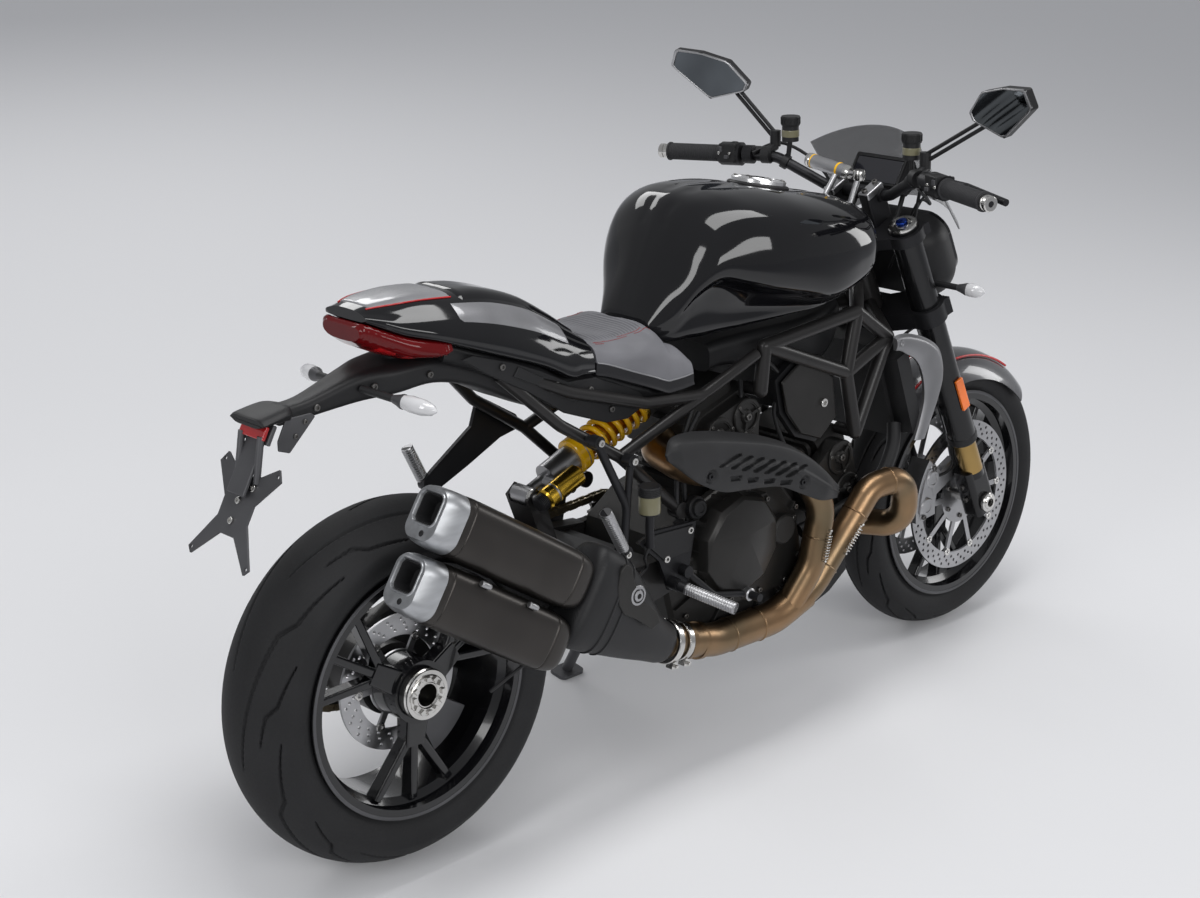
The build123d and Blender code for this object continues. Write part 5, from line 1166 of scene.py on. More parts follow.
addBolts("caseBolts", 5.2, 5, [((x, y, z), right) for y, spots in caseBoltRows.items() for x, z in spots]
         + circle(crank + left * leftFace, 73, 8, 22.5, left))
print("engine covers ready")

# ---- wheel details: what sits on each wheel in circles, then hub, valves and rim edges
rearHub, frontHub = (0, 0, rearRadius), (frontX, 0, frontRadius)


def wheelCircle(hub, y, reach, count, first=0):
    return circle((hub[0], y, hub[2]), reach, count, first, (0, copysign(1, y), 0))


bobbin = hoop([(0, 8.4), (1.6, 8.4), (2.2, 7.8), (2.2, 4), (1.6, 3.4), (0, 3.4)], centre, upright, 24)
addCopies("bobbins_front_wheel", bobbin, wheelCircle(frontHub, -64.6, 129, 10) + wheelCircle(frontHub, 64.6, 129, 10),
          "polishedSteel", "front_wheel")
addCopies("bobbins_rear_wheel", bobbin, wheelCircle(rearHub, -17.5, 84, 6), "polishedSteel", "rear_wheel")
addBolts("carrierBolts", 5.5, 4, wheelCircle(frontHub, -64.6, 48, 6, 30) + wheelCircle(frontHub, 64.6, 48, 6, 30),
         body="front_wheel")
addBolts("rearPlates", 5, 4, wheelCircle(rearHub, -17.5, 46, 6), body="rear_wheel")
addPiece("hubRing", hoop([(-4, 22), (-4, 46), (0, 46), (3, 44), (3, 38), (8, 36.5), (9, 35), (9, 24), (7, 22)],
                         (0, -92, rearRadius), right, 60), "polishedSteel", "rear_wheel",
         smooth=25)
castleSpots = [(spot, way, -30 * step) for step, (spot, way) in enumerate(wheelCircle(rearHub, -100.5, 30.5, 12))]
addCopies("hubCastle", frameBox((0, 0, 2.4), (1, 0, 0), left, (7, 9, 5)), castleSpots, "polishedSteel", "rear_wheel")
valveWay = Vector((cos(radians(78)), 0, sin(radians(78))))
wheelEnds = (("rear", rearHub, -30, 84.1), ("front", frontHub, -18, 52.4))
for end, hub, valveSide, rimHalf in wheelEnds:
    foot = Vector(hub) + left * valveSide + valveWay * 196
    addPiece(end + "Valve", turned(
        ([(-6, 0.4), (-6, 3.4), (4, 3.6), (6, 5), (10, 5), (10, 0.4)], foot, valveWay, 12),
        ([(0, 0.4), (0, 3), (20, 3), (22, 4.2), (30, 4.2), (31, 0.4)], foot - valveWay * 4,
         right * 0.8 - valveWay, 12)), "darkSteel", end + "_wheel", smooth=30)
# painted highlight: a thin satin grey band on each rim edge stands for the light along it
for end, hub, valveSide, rimHalf in wheelEnds:
    addPiece(end + "Pin", combine(*[hoop([(0, 221), (0.5, 222.2), (0.5, 226), (0, 227)],
                                         (hub[0], side * rimHalf, hub[2]), (0, side, 0), 120) for side in (-1, 1)]),
             "satinGrey", end + "_wheel", smooth=30)
print("wheel details ready")

# ---- chain and sprockets: x, z and radius of each run
chainLook = {"pitch": 15.875, "rear": (0, rearRadius, 101), "front": (655, 425, 38), "line": 158,
             "plate": 6.6, "thick": 1.8, "roller": (4.2, 4.8), "pin": (8.8, 2.4)}


def chainRoute(look):
    (rx, rz, rr), (fx, fz, fr) = look["rear"], look["front"]
    heading = atan2(fz - rz, fx - rx)
    opening = acos((rr - fr) / hypot(fx - rx, fz - rz))
    route = []
    for (x, z, reach), first, sweep, count in ((look["rear"], heading + opening, 2 * (pi - opening), 80),
                                               (look["front"], heading - opening, 2 * opening, 40)):
        turns = [first + sweep * step / (count - 1) for step in range(count)]
        route += [(x + reach * cos(turn), z + reach * sin(turn)) for turn in turns]
    return np.array(route + route[:1])


def linkForm(look, inner):
    reach, spots = look["pitch"] / 2, []
    for side, first in ((1, -75), (-1, 105)):
        turns = [radians(first + 50 * step) for step in range(4)]
        spots += [(side * reach + look["plate"] * cos(turn), look["plate"] * sin(turn)) for turn in turns]
    half, radius = look["roller"] if inner else look["pin"]
    near = 4.2 if inner else 6.2
    plates = [ringLoft([[(x, y, side * level) for x, y in spots] for level in (near, near + look["thick"])])
              for side in (-1, 1)]
    rounds = [lathe([(-half, radius), (half, radius)], (side * reach, 0, 0), upright, 8) for side in (-1, 1)]
    return combine(*plates, *rounds)


def makeChain(look):
    route = chainRoute(look)
    lengths = np.concatenate([[0], np.cumsum(np.hypot(*np.diff(route, axis=0).T))])
    count = 2 * round(lengths[-1] / look["pitch"] / 2)
    places = np.linspace(0, lengths[-1], count, endpoint=False)
    pins = [Vector((np.interp(place, lengths, route[:, 0]), look["line"], np.interp(place, lengths, route[:, 1])))
            for place in places]
    spots = [(here.lerp(there, 0.5), left, degrees(atan2(there.z - here.z, here.x - there.x)))
             for here, there in zip(pins, pins[1:] + pins[:1])]
    addCopies("chainInner", linkForm(look, True), spots[::2], "chainSteel", replaced=["drive_chain"],
              slotName="chain_steel")
    addCopies("chainOuter", linkForm(look, False), spots[1::2], "chainSteel", slotName="chain_steel")


def toothedRing(x, z, teeth, root, tip, bore, thickness):
    spots = [(2 * pi * (tooth + share) / teeth, reach) for tooth in range(teeth)
             for share, reach in ((-0.36, root), (-0.14, tip), (0.14, tip), (0.36, root))]
    low, high = chainLook["line"] - thickness / 2, chainLook["line"] + thickness / 2
    return ringLoft([[(x + cos(turn) * (bore if bored else reach), level,
                       z + sin(turn) * (bore if bored else reach)) for turn, reach in spots]
                     for level, bored in ((low, False), (high, False), (high, True), (low, True), (low, False))],
                    (False, False))


makeChain(chainLook)
addPiece("sprocketTeeth", toothedRing(0, rearRadius, 40, 97, 104, 86, 6), "darkSteel", "rear_wheel", bevel=0.5)
addBolts("sprocketNuts", 8, 7, wheelCircle(rearHub, 161, 68, 6, 30), "polishedSteel", "rear_wheel")
addPiece("countershaft", toothedRing(655, 425, 15, 34, 41, 12, 8), "darkSteel", bevel=0.5)
print("chain ready")

# ---- rear shock absorber, from its front eye to its rear one
shockFront, shockRear = Vector((632, 0, 700)), Vector((316, 0, 582))
shockWay, shockSide, shockUp = aroundAxis(shockRear - shockFront)
springLook = {"from": 46, "length": 144, "turns": 7, "radius": 28.6, "wire": 5.2, "steps": 168}


def makeSpring(look):
    shares = [step / look["steps"] for step in range(look["steps"] + 1)]
    coil = [tuple(shockFront + shockWay * (look["from"] + look["length"] * share)
                  + (shockSide * cos(2 * pi * look["turns"] * share)
                     + shockUp * sin(2 * pi * look["turns"] * share)) * look["radius"]) for share in shares]
    addPaths("springCoil", [coil], look["wire"], "springYellow", sides=14, steps=2,
             replaced=["shock_spring"], slotName="spring_yellow")


makeSpring(springLook)
potStart, potEnd = Vector((398, -50, 612.6)), Vector((322, -50, 584.2))
potWay = potEnd - potStart
knob = [(84, 0.4), (84, 15)]
for ridge in range(5):
    knob += [(86 + ridge * 3, 16), (87.4 + ridge * 3, 16), (88 + ridge * 3, 15)]
shockParts = {  # name: finish, smooth angle, turned forms (profile, start, way, sides)
    "shockBody": ("reservoirGold", 30, [
        ([(40, 0.4), (40, 20), (120, 20), (122, 22), (196, 22), (196, 0.4)], shockFront, shockWay, 36),
        ([(34, 0.4), (34, 32), (37, 34), (44, 34), (46, 31), (46, 0.4)], shockFront, shockWay, 36)]),
    "springCollar": ("springYellow", 30, [([(190, 30), (190, 34), (197, 35), (197, 31), (200, 31), (200, 35),
                                            (213, 35), (215, 33), (215, 27)], shockFront, shockWay, 48)]),
    "shockReservoir": ("reservoirGold", 28, [([(-4, 0.4), (-4, 16), (0, 20), (58, 20), (60, 18), (62, 18), (64, 20),
                                               (80, 20), (84, 17), (84, 0.4)], potStart, potWay, 40)]),
    "shockKnob": ("anodisedBlack", 25, [(knob + [(102, 12), (102, 0.4)], potStart, potWay, 24)]),
    "shockEyeBolt": ("polishedSteel", 28, [([(0, 17), (4, 17), (6, 15), (6, 11), (14, 10.5), (16, 8), (16, 0.4)],
                                            shockFront + shockWay * 337 + right * 22, right, 28)]),
}
for name, (finish, smooth, forms) in shockParts.items():
    addPiece(name, turned(*forms), finish, smooth=smooth)
print("shock ready")

# ---- steering frame: a place along the steering axis, ahead of it and to its left
rake = radians(24.3)
steerUp, steerAhead = Vector((-sin(rake), 0, cos(rake))), Vector((cos(rake), 0, sin(rake)))
steerFoot = Vector((1598, 0, 0))
barX = (steerFoot + steerUp * 1064 + steerAhead * 70).x
forkHalf, forkAhead, capHoleReach = 116, 45, 15.6


def steerPlace(along, ahead, side=0):
    return steerFoot + steerUp * along + steerAhead * ahead + left * side


def onBoth(make):  # one form a side, right then left
    return combine(*[make(side) for side in (-1, 1)])


# fork: gold tubes, seals, caps and adjusters turned round each leg
forkTurned = {  # name: finish, smooth angle, sides, profile, slot
    "stanchions": ("stanchionGold", 30, 48, [(396, 24.3), (484.6, 24.3)], "stanchion_gold"),
    "forkSeals": ("mouldedBlack", 30, 48, [(474, 24.6), (474, 28), (478, 31), (492, 31.4), (494, 30)], None),
    "forkCaps": ("polishedSteel", 25, 40, [(1010, 29.5), (1020, 29.5), (1022, 28), (1022, 20), (1019, 19.5),
                                           (1019, 12), (1024, 11), (1026, 10), (1026, 0.4)], None),
    "forkAdjusters": ("blueAlloy", 25, 24, [(1020, 11.6), (1027, 11.6), (1028.5, 10), (1028.5, 3), (1026, 2.6),
                                            (1026, 0.4)], None),
}
for name, (finish, smooth, sides, profile, slotName) in forkTurned.items():
    addPiece(name, onBoth(lambda side: lathe(profile, steerPlace(0, forkAhead, side * forkHalf), steerUp, sides)),
             finish, "steering", smooth=smooth)
addPiece("forkReflectors", onBoth(lambda side: frameBox(steerPlace(604, forkAhead, side * (forkHalf + 33)), steerUp,
                                                        steerAhead, (74, 22, 7))), "lensAmber", "steering", bevel=2)
addBolts("forkClampBolts", 6, 6, [(steerPlace(level, forkAhead + 36, side * forkHalf * 1.12),
                                   left * side + steerAhead * 0.4) for side in (-1, 1)
                                  for level in (799.5, 818.5, 997)], "polishedSteel", "steering")
# painted shade: thin matt black discs stand for the shade inside the holes in the fork caps
addCopies("forkCapHoles", lathe([(0, 2.2), (0.5, 2.2), (0.5, 0.2)], centre, upright, 10),
          [(steerPlace(1019.4, forkAhead + capHoleReach * cos(k * pi / 3),
                       side * forkHalf + capHoleReach * sin(k * pi / 3)), steerUp)
           for side in (-1, 1) for k in range(6)], "mattBlack", "steering")
axleNut = [(0, 17), (0, 21), (5, 21), (7, 19), (7, 15), (9.5, 14), (9.5, 9.5), (0, 9.5)]
addPiece("axleNuts", onBoth(lambda side: hoop(axleNut, (frontX, side * 136, frontRadius), left * side, 36)),
         "polishedSteel", "steering", smooth=25)
addBolts("axlePinch", 5.5, 6, [(steerPlace(level, forkAhead - 32, side * 108), -steerAhead) for side in (-1, 1)
                               for level in (332, 366)], body="steering")

# ---- front calipers: faces, pistons and bolts over the CAD bodies; turns in degrees round the axle
caliperLook = {"face": 83.1, "pistons": (151, 175), "pistonReach": 144, "bolts": (142.5, 183.5), "boltReach": 152,
               "ridgeReach": 166, "ridge": (146, 180), "ridgeWide": 13}


def frontSpot(turn, reach, y=0):  # a spot round the front axle, its turn in degrees
    turn = radians(turn)
    return Vector((frontX + reach * cos(turn), y, frontRadius + reach * sin(turn)))


def makeCaliper(side, look=caliperLook):
    face, out = side * look["face"], left * side
    forms = [lathe([(-6, 20), (3, 20), (6, 17.5), (6, 12), (4.5, 11), (4.5, 0.4)],
                   frontSpot(turn, look["pistonReach"], face), out, 32) for turn in look["pistons"]]
    for turn in look["bolts"]:
        spot = frontSpot(turn, look["boltReach"], face) - out * 6
        forms.append(roundBar(spot - out * 16, spot + out * 7, 9.5, 20))
    first, last = look["ridge"]
    ridge = [frontSpot(first + (last - first) * step / 11, look["ridgeReach"]) for step in range(12)]
    outline = [(spot.x, spot.z) for spot in ridge] + [(spot.x + look["ridgeWide"], spot.z) for spot in ridge[::-1]]
    return combine(*forms, flatPlate(outline, face - side * 4, face + side * 3))


addPiece("caliperFaces", onBoth(makeCaliper), "satinAluminium", "steering", smooth=30)
addBolts("caliperBolts", 5.5, 5, [(frontSpot(turn, caliperLook["boltReach"], side * (caliperLook["face"] + 1)),
                                   left * side) for side in (-1, 1) for turn in caliperLook["bolts"]], body="steering")

# ---- handlebar ends: distances along each grip from its inner end
gripStart, gripWay = Vector((barX - 88, 276, 1054)), Vector((-48, 148, -5)).normalized()


def onBar(side, distance, lift=0, ahead=0):
    spot = gripStart + gripWay * distance
    return Vector((spot.x + ahead, side * spot.y, spot.z + lift))


def barTurned(profile, start, sides):
    return onBoth(lambda side: lathe(profile, onBar(side, start), onBar(side, start + 10) - onBar(side, start), sides))


def barBoxes(*boxes):  # each box: distance, lift, ahead, size
    return onBoth(lambda side: combine(*[frameBox(onBar(side, *place), onBar(side, 10) - onBar(side, 0), upright, size)
                                         for place, size in boxes]))


addPiece("gripRubbers", combine(barTurned([(0, 15), (0, 21), (3, 21), (5, 17)], 14, 32),
                                onBoth(lambda side: ribbed(onBar(side, 17), onBar(side, 135.5), 16.4, 0.9, 4.2)),
                                barTurned([(0, 16), (0, 19), (3.6, 19), (4, 16)], 131, 32)),
         "gripRubber", "steering", ["grips"], smooth=30)
addPiece("barEnds", barTurned([(0, 10), (0, 14.6), (6, 15), (7, 13.4), (9, 13.4), (10, 15), (18, 15), (20, 13), (20, 6),
                               (17, 5), (17, 0.4)], 136.3, 36), "polishedSteel", "steering", smooth=25)
addPiece("switchBoxes", barBoxes(((-10, 4, -10), (38, 40, 30)), ((-18, 20, -6), (16, 12, 16)),
                                 ((-48, 0, 20), (18, 26, 30))), "mouldedBlack", "steering", bevel=4, segments=3)
screws = [(onBar(side, distance, 4, -25.5), (-1, 0, 0)) for side in (-1, 1) for distance in (-22, 2)]
addBolts("switchScrews", 3.4, 2, screws + [(onBar(side, -26, 7, 44), upright) for side in (-1, 1)],
         "polishedSteel", "steering")
buttonX = onBar(1, -10).x - 27
addPiece("switchButtons", onBoth(lambda side: combine(
    frameBox((buttonX, side * 274.5, 1066), left, upright, (8, 12, 8)),
    frameBox((buttonX, side * 258.5, 1052), left, upright, (10, 7, 8)))), "satinGrey", "steering", bevel=1.5)

# fluid cups on the bar
cupLook = {"place": (barX - 32, 156, 1086), "ridges": 20, "ridgeReach": 19.2}


def cupFoot(side, rise=0):
    x, y, z = cupLook["place"]
    return Vector((x, side * y, z + rise))


addPiece("cupCaps", onBoth(lambda side: ribbed(cupFoot(side, 32), cupFoot(side, 51), 18.6, 0.8, 3.2)),
         "mouldedBlack", "steering", smooth=25)
addPiece("cupBands", onBoth(lambda side: lathe([(9, 17.4), (10, 18), (22, 18), (23, 17.4)], cupFoot(side), upright,
                                               32)), "fluidYellow", "steering", smooth=25)
cupRays = [Vector((cos(turn), sin(turn), 0))
           for turn in (2 * pi * step / cupLook["ridges"] for step in range(cupLook["ridges"]))]
addCopies("cupRidges", frameBox(centre, (1, 0, 0), left, (2.2, 13, 2)),
          [(cupFoot(side, 42) + ray * cupLook["ridgeReach"], ray) for side in (-1, 1) for ray in cupRays],
          "mouldedBlack", "steering")

# steering damper, clamps and stem
damperStart, damperEnd = Vector((barX - 41, 98, 1056)), Vector((barX - 40, -6, 1042))


def onDamper(*profiles):
    return turned(*[(profile, damperStart, damperEnd - damperStart, 36) for profile in profiles])


addPiece("damperBands", onDamper([(12, 14.2), (12.5, 14.8), (14, 14.8), (14.5, 14.2)],
                                 [(78, 14.2), (79, 15), (82, 15), (83, 14.2)]), "springYellow", "steering", smooth=25)
addPiece("damperEnds", combine(onDamper([(-4, 0.4), (-4, 9), (0, 13), (4, 15), (9, 15), (10, 14)],
                                        [(98, 14), (99, 15), (106, 15), (110, 11), (110, 0.4)]),
                               lathe([(-10, 8.5), (-10, 11), (-6, 12.5), (6, 12.5), (10, 11), (10, 0.4)],
                                     (barX - 36, -30, 1040), upright, 24)), "polishedSteel", "steering", smooth=25)
addPiece("barClamps", onBoth(lambda side: frameBox(steerPlace(1079, 58, side * 45), steerAhead, left, (52, 27, 16))),
         "satinAluminium", "steering", bevel=4, segments=3)
addBolts("barClampBolts", 6, 6, [(steerPlace(1087, 58 + ahead, side * 45), steerUp) for side in (-1, 1)
                                 for ahead in (-17, 17)], body="steering")
addPiece("stemNut", lathe([(1004, 28), (1014, 28), (1016, 26), (1016, 16), (1012, 15), (1012, 0.4)], steerFoot,
                          steerUp, 36), "polishedSteel", "steering", smooth=25)

# ---- mirrors: corners of the glass in its own plane, then rings by scale and level
mirrorLook = {"corners": [(94, -28), (35, -41), (-31, -44), (-85, -13), (-81, 5), (-5, 50), (98, 10)],
              "middle": (3, -2), "place": (barX - 44.4, 364.8, 1198.9),
              "glass": ((0.93, 0.2), (0.92, 1.0)),
              "rim": ((1.0, -3), (1.0, 1.2), (0.985, 2.0), (0.94, 2.0), (0.925, 0.4), (1.0, -3))}


def mirrorRings(kind, ends, look=mirrorLook):
    (mx, my), (px, py, pz), corners = look["middle"], look["place"], look["corners"]
    spots = [(ax + (bx - ax) * share, ay + (by - ay) * share)
             for (ax, ay), (bx, by) in zip(corners, corners[1:] + corners[:1]) for share in (0.08, 0.92)]

    def oneSide(side):
        xWay = Vector((-0.2784, side * 0.9208, 0.273)).normalized()
        zWay = Vector((-0.9541, side * -0.2323, -0.1892)).normalized()
        yWay = zWay.cross(xWay) * side
        return ringLoft([[Vector((px, side * py, pz)) + xWay * (mx + (x - mx) * scale)
                          + yWay * (my + (y - my) * scale) + zWay * level for x, y in spots]
                         for scale, level in look[kind]], ends)
    return onBoth(oneSide)


addPiece("mirrorGlass", mirrorRings("glass", (True, True)), "mirrorGlass", "steering", smooth=20)
# painted highlight: the rims are black plastic; their satin aluminium colour stands in for the bright line of light
# along their edge
addPiece("mirrorRims", mirrorRings("rim", (False, False)), "satinAluminium", "steering", smooth=40)

# ---- instrument panel and headlamp
panelNormal, panelRise = Vector((-0.841, 0, 0.541)), Vector((0.541, 0, 0.841))
panelMiddle = Vector((barX + 57, 0, 1032.5))
addPiece("dashGlass", frameBox(panelMiddle + panelNormal * 1.4, panelRise, left, (50, 116, 2.6)), "displayGlass",
         "steering", bevel=1)
addPiece("dashFrame", combine(*[frameBox(panelMiddle + panelNormal * 1.6 + out, panelRise, left, size)
                                for out, size in ((panelRise * -28, (5, 128, 4)), (panelRise * 28, (5, 128, 4)),
                                                  (left * -62, (60, 5, 4)), (left * 62, (60, 5, 4)))]),
         "mouldedBlack", "steering", bevel=1.2)
lampLevel = 880  # along the steering axis; rings: ahead, half width, low, high, corner
lensRings = ((166, 104, -70, 72, 46), (182, 103, -70, 72, 46), (196, 86, -58, 60, 40), (207, 64, -43, 45, 30),
             (209, 40, -26, 28, 20))
rimRings = ((160, 111, -75, 77, 48), (180, 108, -74, 76, 48), (184, 104, -71, 73, 46), (180, 100, -68, 70, 44),
            (160, 100, -68, 70, 44), (160, 111, -75, 77, 48))


def lampRing(ahead, half, low, high, corner):
    return [steerPlace(lampLevel + (high + low) / 2 + up, ahead, side)
            for side, up in roundedRing(half, (high - low) / 2, corner, 10)]


addPiece("headlampLens", ringLoft([lampRing(*ring) for ring in lensRings]), "lensClear", "steering",
         smooth=60)
addPiece("headlampRim", ringLoft([lampRing(*ring) for ring in rimRings], (False, False)), "glossBlack", "steering",
         smooth=35)
bandTurns = [radians(turn) for turn in np.linspace(200, -20, 13)]
addPaths("daylightBand", [[steerPlace(lampLevel - 4 + 50 * sin(turn), 203 - 7 * abs(cos(turn)),
                                      72 * cos(turn)) for turn in bandTurns]],
         4.5, "capSilver", "steering", sides=10, steps=4)
print("front end ready")

# ---- indicators: foot, root and tip of each stem; the right side first
stems = {
    "rear": ("chassis", [(Vector((-60.8, side * 39.6, 867.8)), Vector((-40, side * 108, 858)),
                          Vector((-19, side * 181, 849))) for side in (-1, 1)]),
    "front": ("steering", [(steerPlace(850, 87, side * 118),
                            steerPlace(850, 87, side * 122) + Vector((10, side * 56, -3)),
                            steerPlace(850, 87) + Vector((22, side * 226, -6))) for side in (-1, 1)]),
}


def indicatorLens(root, tip):
    length = (tip - root).length
    return lathe([(8, 0.4), (8, 11), (length * 0.35, 14), (length * 0.65, 13.5), (length * 0.88, 9),
                  (length * 0.98, 3), (length, 0.4)], root, tip - root, 28)


for end, (body, spots) in stems.items():
    addPaths(end + "IndicatorStems", [[foot, foot.lerp(root, 0.5), root] for foot, root, tip in spots], 6.5,
             "mouldedBlack", body, replaced=[end + "_indicators"], slotName="indicator_clear")
    addPiece(end + "IndicatorLenses", combine(*[indicatorLens(root, tip) for foot, root, tip in spots]), "lensClear",
             body, smooth=60)
    addPiece(end + "IndicatorSockets", turned(*[([(-10, 0.4), (-10, 6.5), (2, 10), (9, 12.6), (12, 12.8), (12, 10)],
                                                 root, tip - root, 28) for foot, root, tip in spots]),
             "satinGrey", body, smooth=40)

# ---- radiator: side frames between two edges (x, z), fins and tanks
guardOuter = [(1138, 744), (1160, 745), (1191, 740), (1240, 722), (1280, 696), (1297, 664), (1300, 630),
              (1284, 590), (1262, 550), (1242, 514)]
guardInner = [(1140, 716), (1158, 712), (1176, 702), (1198, 690), (1214, 674), (1226, 652), (1234, 622),
              (1234, 590), (1222, 552), (1207, 516)]
guardLook = {"along": 110, "across": 22, "face": 172, "back": 166.4, "crown": 5, "crownPower": 2.6,
             "lip": 6, "lipShare": 0.2, "dent": 5, "dentReach": 7, "dentEdge": 2.5, "boltHole": (1152, 729)}


def makeGuard(side, look=guardLook):
    x, z, across = ruledGrid(guardOuter, guardInner, look["along"], look["across"])
    hx, hz = look["boltHole"]
    y = (look["face"] + look["crown"] * (1 - np.abs(2 * across - 1) ** look["crownPower"])[None, :]
         - look["dent"] * smoothStep((look["dentReach"] - np.hypot(x - hx, z - hz)) / look["dentEdge"])
         - look["lip"] * smoothStep((look["lipShare"] - across) / look["lipShare"])[None, :])
    return sheetForm(np.stack([x, side * y, z], axis=2), np.stack([x, 0 * y + side * look["back"], z], axis=2))


addPiece("radiatorFrames", onBoth(makeGuard), "guardAluminium", "chassis", ["radiator_guards"], smooth=45)
finNormal, finWay = Vector((0.954, 0, 0.299)), Vector((0.299, 0, -0.954))
finSpots = [(Vector((1182, 0, 734)) + finWay * (10 + 3.4 * k) + finNormal * 0.6, finNormal) for k in range(58)]
addCopies("radiatorFins", frameBox(centre, (1, 0, 0), left, (232, 1.2, 3.2)), finSpots, "darkSteel")
tankPoints, tankFaces = roundBar((1174, -124, 722), (1238, -124, 520), 15, 24, 4)
addPiece("radiatorTanks", combine((tankPoints, tankFaces), ([(x, -y, z) for x, y, z in tankPoints],
                                                            [face[::-1] for face in tankFaces])),
         "radiatorBlack", smooth=30)
print("radiator ready")

# ---- mudguard stripes, plate carrier and the panels under the tail
stripeLook = {"turns": (134, 56), "reach": 303.5, "half": 46, "radius": 2.6}
addPaths("mudguardStripes", [[frontSpot(turn, stripeLook["reach"], side * stripeLook["half"])
                              for turn in np.linspace(*stripeLook["turns"], 16)] for side in (-1, 1)],
         stripeLook["radius"], "redPaint", "steering", sides=8, steps=3)
plateOut, plateDown = Vector((-0.872, 0, 0.489)), Vector((-0.489, 0, -0.872))
addPiece("plateReflector", frameBox(Vector((-238, 0, 827)) + plateOut * 8, left, plateDown, (66, 24, 8)),
         "lensRed", bevel=2.5)
bracketOutline = [(-150, 844), (-143, 836), (-196, 786), (-218, 794), (-218, 810), (-200, 844)]
addPiece("plateMount", combine(frameBox((-235, 0, 826), left, plateDown, (70, 34, 8)),
                               frameBox((-262, 0, 780), left, plateDown, (46, 104, 6)),
                               flatPlate(bracketOutline, -21, -25)), "satinGrey", bevel=2)
addBolts("bracketBolts", 4.5, 3, [((x, -25, z), right) for x, z in ((-164, 832), (-184, 812))])
addBolts("plateBolts", 6, 4, [(Vector((-288, 0, 712)) + left * side + plateDown * down + plateOut * 0.5, plateOut)
                              for side, down in ((-26, -38), (26, -38), (0, -12), (0, 22))], "polishedSteel")
sidePanel = [(392, 806), (330, 811), (270, 843), (206, 871), (120, 900), (96, 896), (150, 860), (236, 812),
             (320, 756), (420, 716), (470, 712), (520, 730), (500, 760), (440, 786)]
padForm, padPlaces = [(-34, 8), (26, -22), (34, -8), (-22, 24)], ((238, 838), (318, 792))
addPiece("tailSidePanels", onBoth(lambda side: flatPlate(sidePanel, side * 100, side * 108)), "mattBlack", bevel=3)
addPiece("tailPanelPads", onBoth(lambda side: combine(
    *[flatPlate([(px + dx, pz + dz) for dx, dz in padForm], side * 107, side * 110.5) for px, pz in padPlaces])),
    "mouldedBlack", bevel=2)
trayBoltPlaces = ((60, 66, 872), (-40, 46, 868), (-140, 24, 850), (430, 108.3, 740), (300, 108.3, 812),
                  (180, 108.3, 868), (380, 108.3, 786))
addBolts("trayBolts", 6, 4, [((x, side * y, z), (0, side, 0)) for x, y, z in trayBoltPlaces for side in (-1, 1)])

# ---- footrests: knurled pegs, stubs, bolts and heel guards
pegForms = []
for side, face, stubHeight in ((-1, -162, 340), (1, 182, 360)):
    start, end = Vector((518, face + side * 24, 402)), Vector((556, side * 292, 376))
    pegForms += [ribbed(start.lerp(end, 0.12), end, 10.6, 0.9, 5, 24),
                 lathe([(0, 9), (0, 12.5), (16, 12.5), (18, 10)], (690, face + side * 26, stubHeight), left * side, 20)]
for start, end in (((400, -165, 499), (348, -176, 584)), ((216, 165, 598), (190, 174, 662))):
    pegForms.append(ribbed(start, end, 10.8, 0.8, 5, 24))
addPiece("pegs", combine(*pegForms), "satinAluminium", smooth=30)
footBoltPlaces = [(x, y, z) for y in (-166.3, 186.3) for x, z in ((458, 500), (566, 492), (530, 396), (505, 452))]
footBoltPlaces += [(350, -164, 707), (430, -164, 655), (410, -164.5, 486), (350, 158.5, 707), (430, 158.5, 655)]
addBolts("footBolts", 7, 5, [(place, (0, copysign(1, place[1]), 0)) for place in footBoltPlaces], "polishedSteel")
heelOutline = [(448, 498), (476, 506), (576, 500), (566, 452), (500, 450)]
addPiece("heelGuards", combine(flatPlate(heelOutline, -166.4, -169.5), flatPlate(heelOutline, 186.4, 189)),
         "mouldedBlack", bevel=1.4)
addPiece("rearCup", lathe([(-6, 8), (0, 19.6), (4, 20), (30, 20), (34, 19)], (457, -174.3, 556), upright, 28),
         "fluidYellow", smooth=30)
addPiece("rearCupCap", ribbed((457, -174.3, 588), (457, -174.3, 606), 20.4, 0.8, 3.2), "mouldedBlack", smooth=25)
print("feet and tail trim ready")


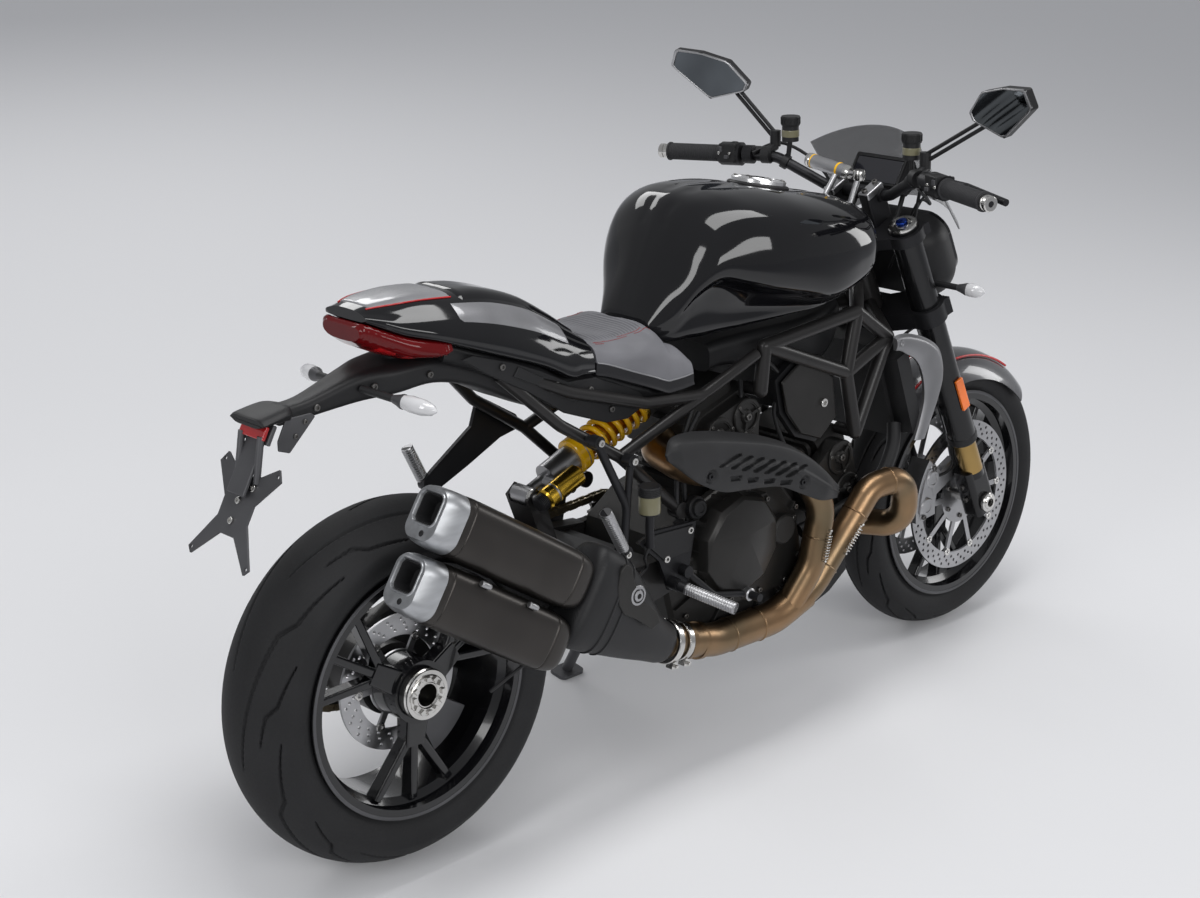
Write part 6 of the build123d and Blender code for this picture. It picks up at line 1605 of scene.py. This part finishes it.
# ---- hoses, cables and leads: name, radius, body, sides and routes
def fromBar(ahead, side, z):
    return barX + ahead, side, z


hoses = [
    ("radiatorHoses", 14, "chassis", 20, [
        [(1190, -132, 548), (1168, -146, 500), (1110, -150, 440), (1000, -132, 400), (930, -112, 380)],
        [(1188, 130, 700), (1150, 120, 720), (1100, 104, 700), (1064, 88, 640)],
        [(1196, 132, 546), (1150, 140, 470), (1040, 138, 380), (900, 134, 330)]]),
    ("engineLeads", 4.5, "chassis", 12, [
        [(776, -96, 716), (760, -112, 690), (752, -118, 640), (770, -112, 560)],
        [(846, -98, 742), (868, -118, 700), (852, -112, 640), (880, -120, 560)],
        [(640, -118, 690), (600, -124, 640), (590, -130, 560), (606, -124, 470)],
        [(620, -120, 700), (580, -128, 630), (566, -134, 540), (580, -130, 440)]]),
    ("rearBrakeLine", 3.2, "chassis", 10, [
        [(457, -174, 492), (450, -168, 470), (470, -150, 440), (430, -146, 420), (330, -146, 400),
         (200, -146, 350), (120, -120, 300)]]),
    ("frontBrakeLines", 3.4, "steering", 10, [
        [fromBar(-84, -214, 1062), fromBar(-20, -190, 1070), fromBar(30, -130, 1010), steerPlace(900, 66, -84),
         steerPlace(760, 64, -78), steerPlace(600, 60, -82), steerPlace(420, 30, -84), (1388, -84, 372)],
        [steerPlace(760, 64, -78), steerPlace(700, 80, 0), steerPlace(620, 60, 78), steerPlace(420, 30, 84),
         (1388, 84, 372)],
        [fromBar(-84, 214, 1062), fromBar(-10, 190, 1074), fromBar(40, 120, 1010), steerPlace(930, 62, 60),
         steerPlace(860, 50, 30)]]),
    ("throttleCables", 2.8, "steering", 10, [
        [fromBar(-92, -226, 1050), fromBar(-30, -214, 1016), fromBar(50, -120, 990), steerPlace(900, 58, -40)],
        [fromBar(-92, -222, 1044), fromBar(-36, -208, 1006), fromBar(44, -112, 980), steerPlace(890, 58, -34)]]),
]
for name, radius, body, sides, routes in hoses:
    addPaths(name, routes, radius, "hoseBlack", body, sides=sides)
print("hoses ready")
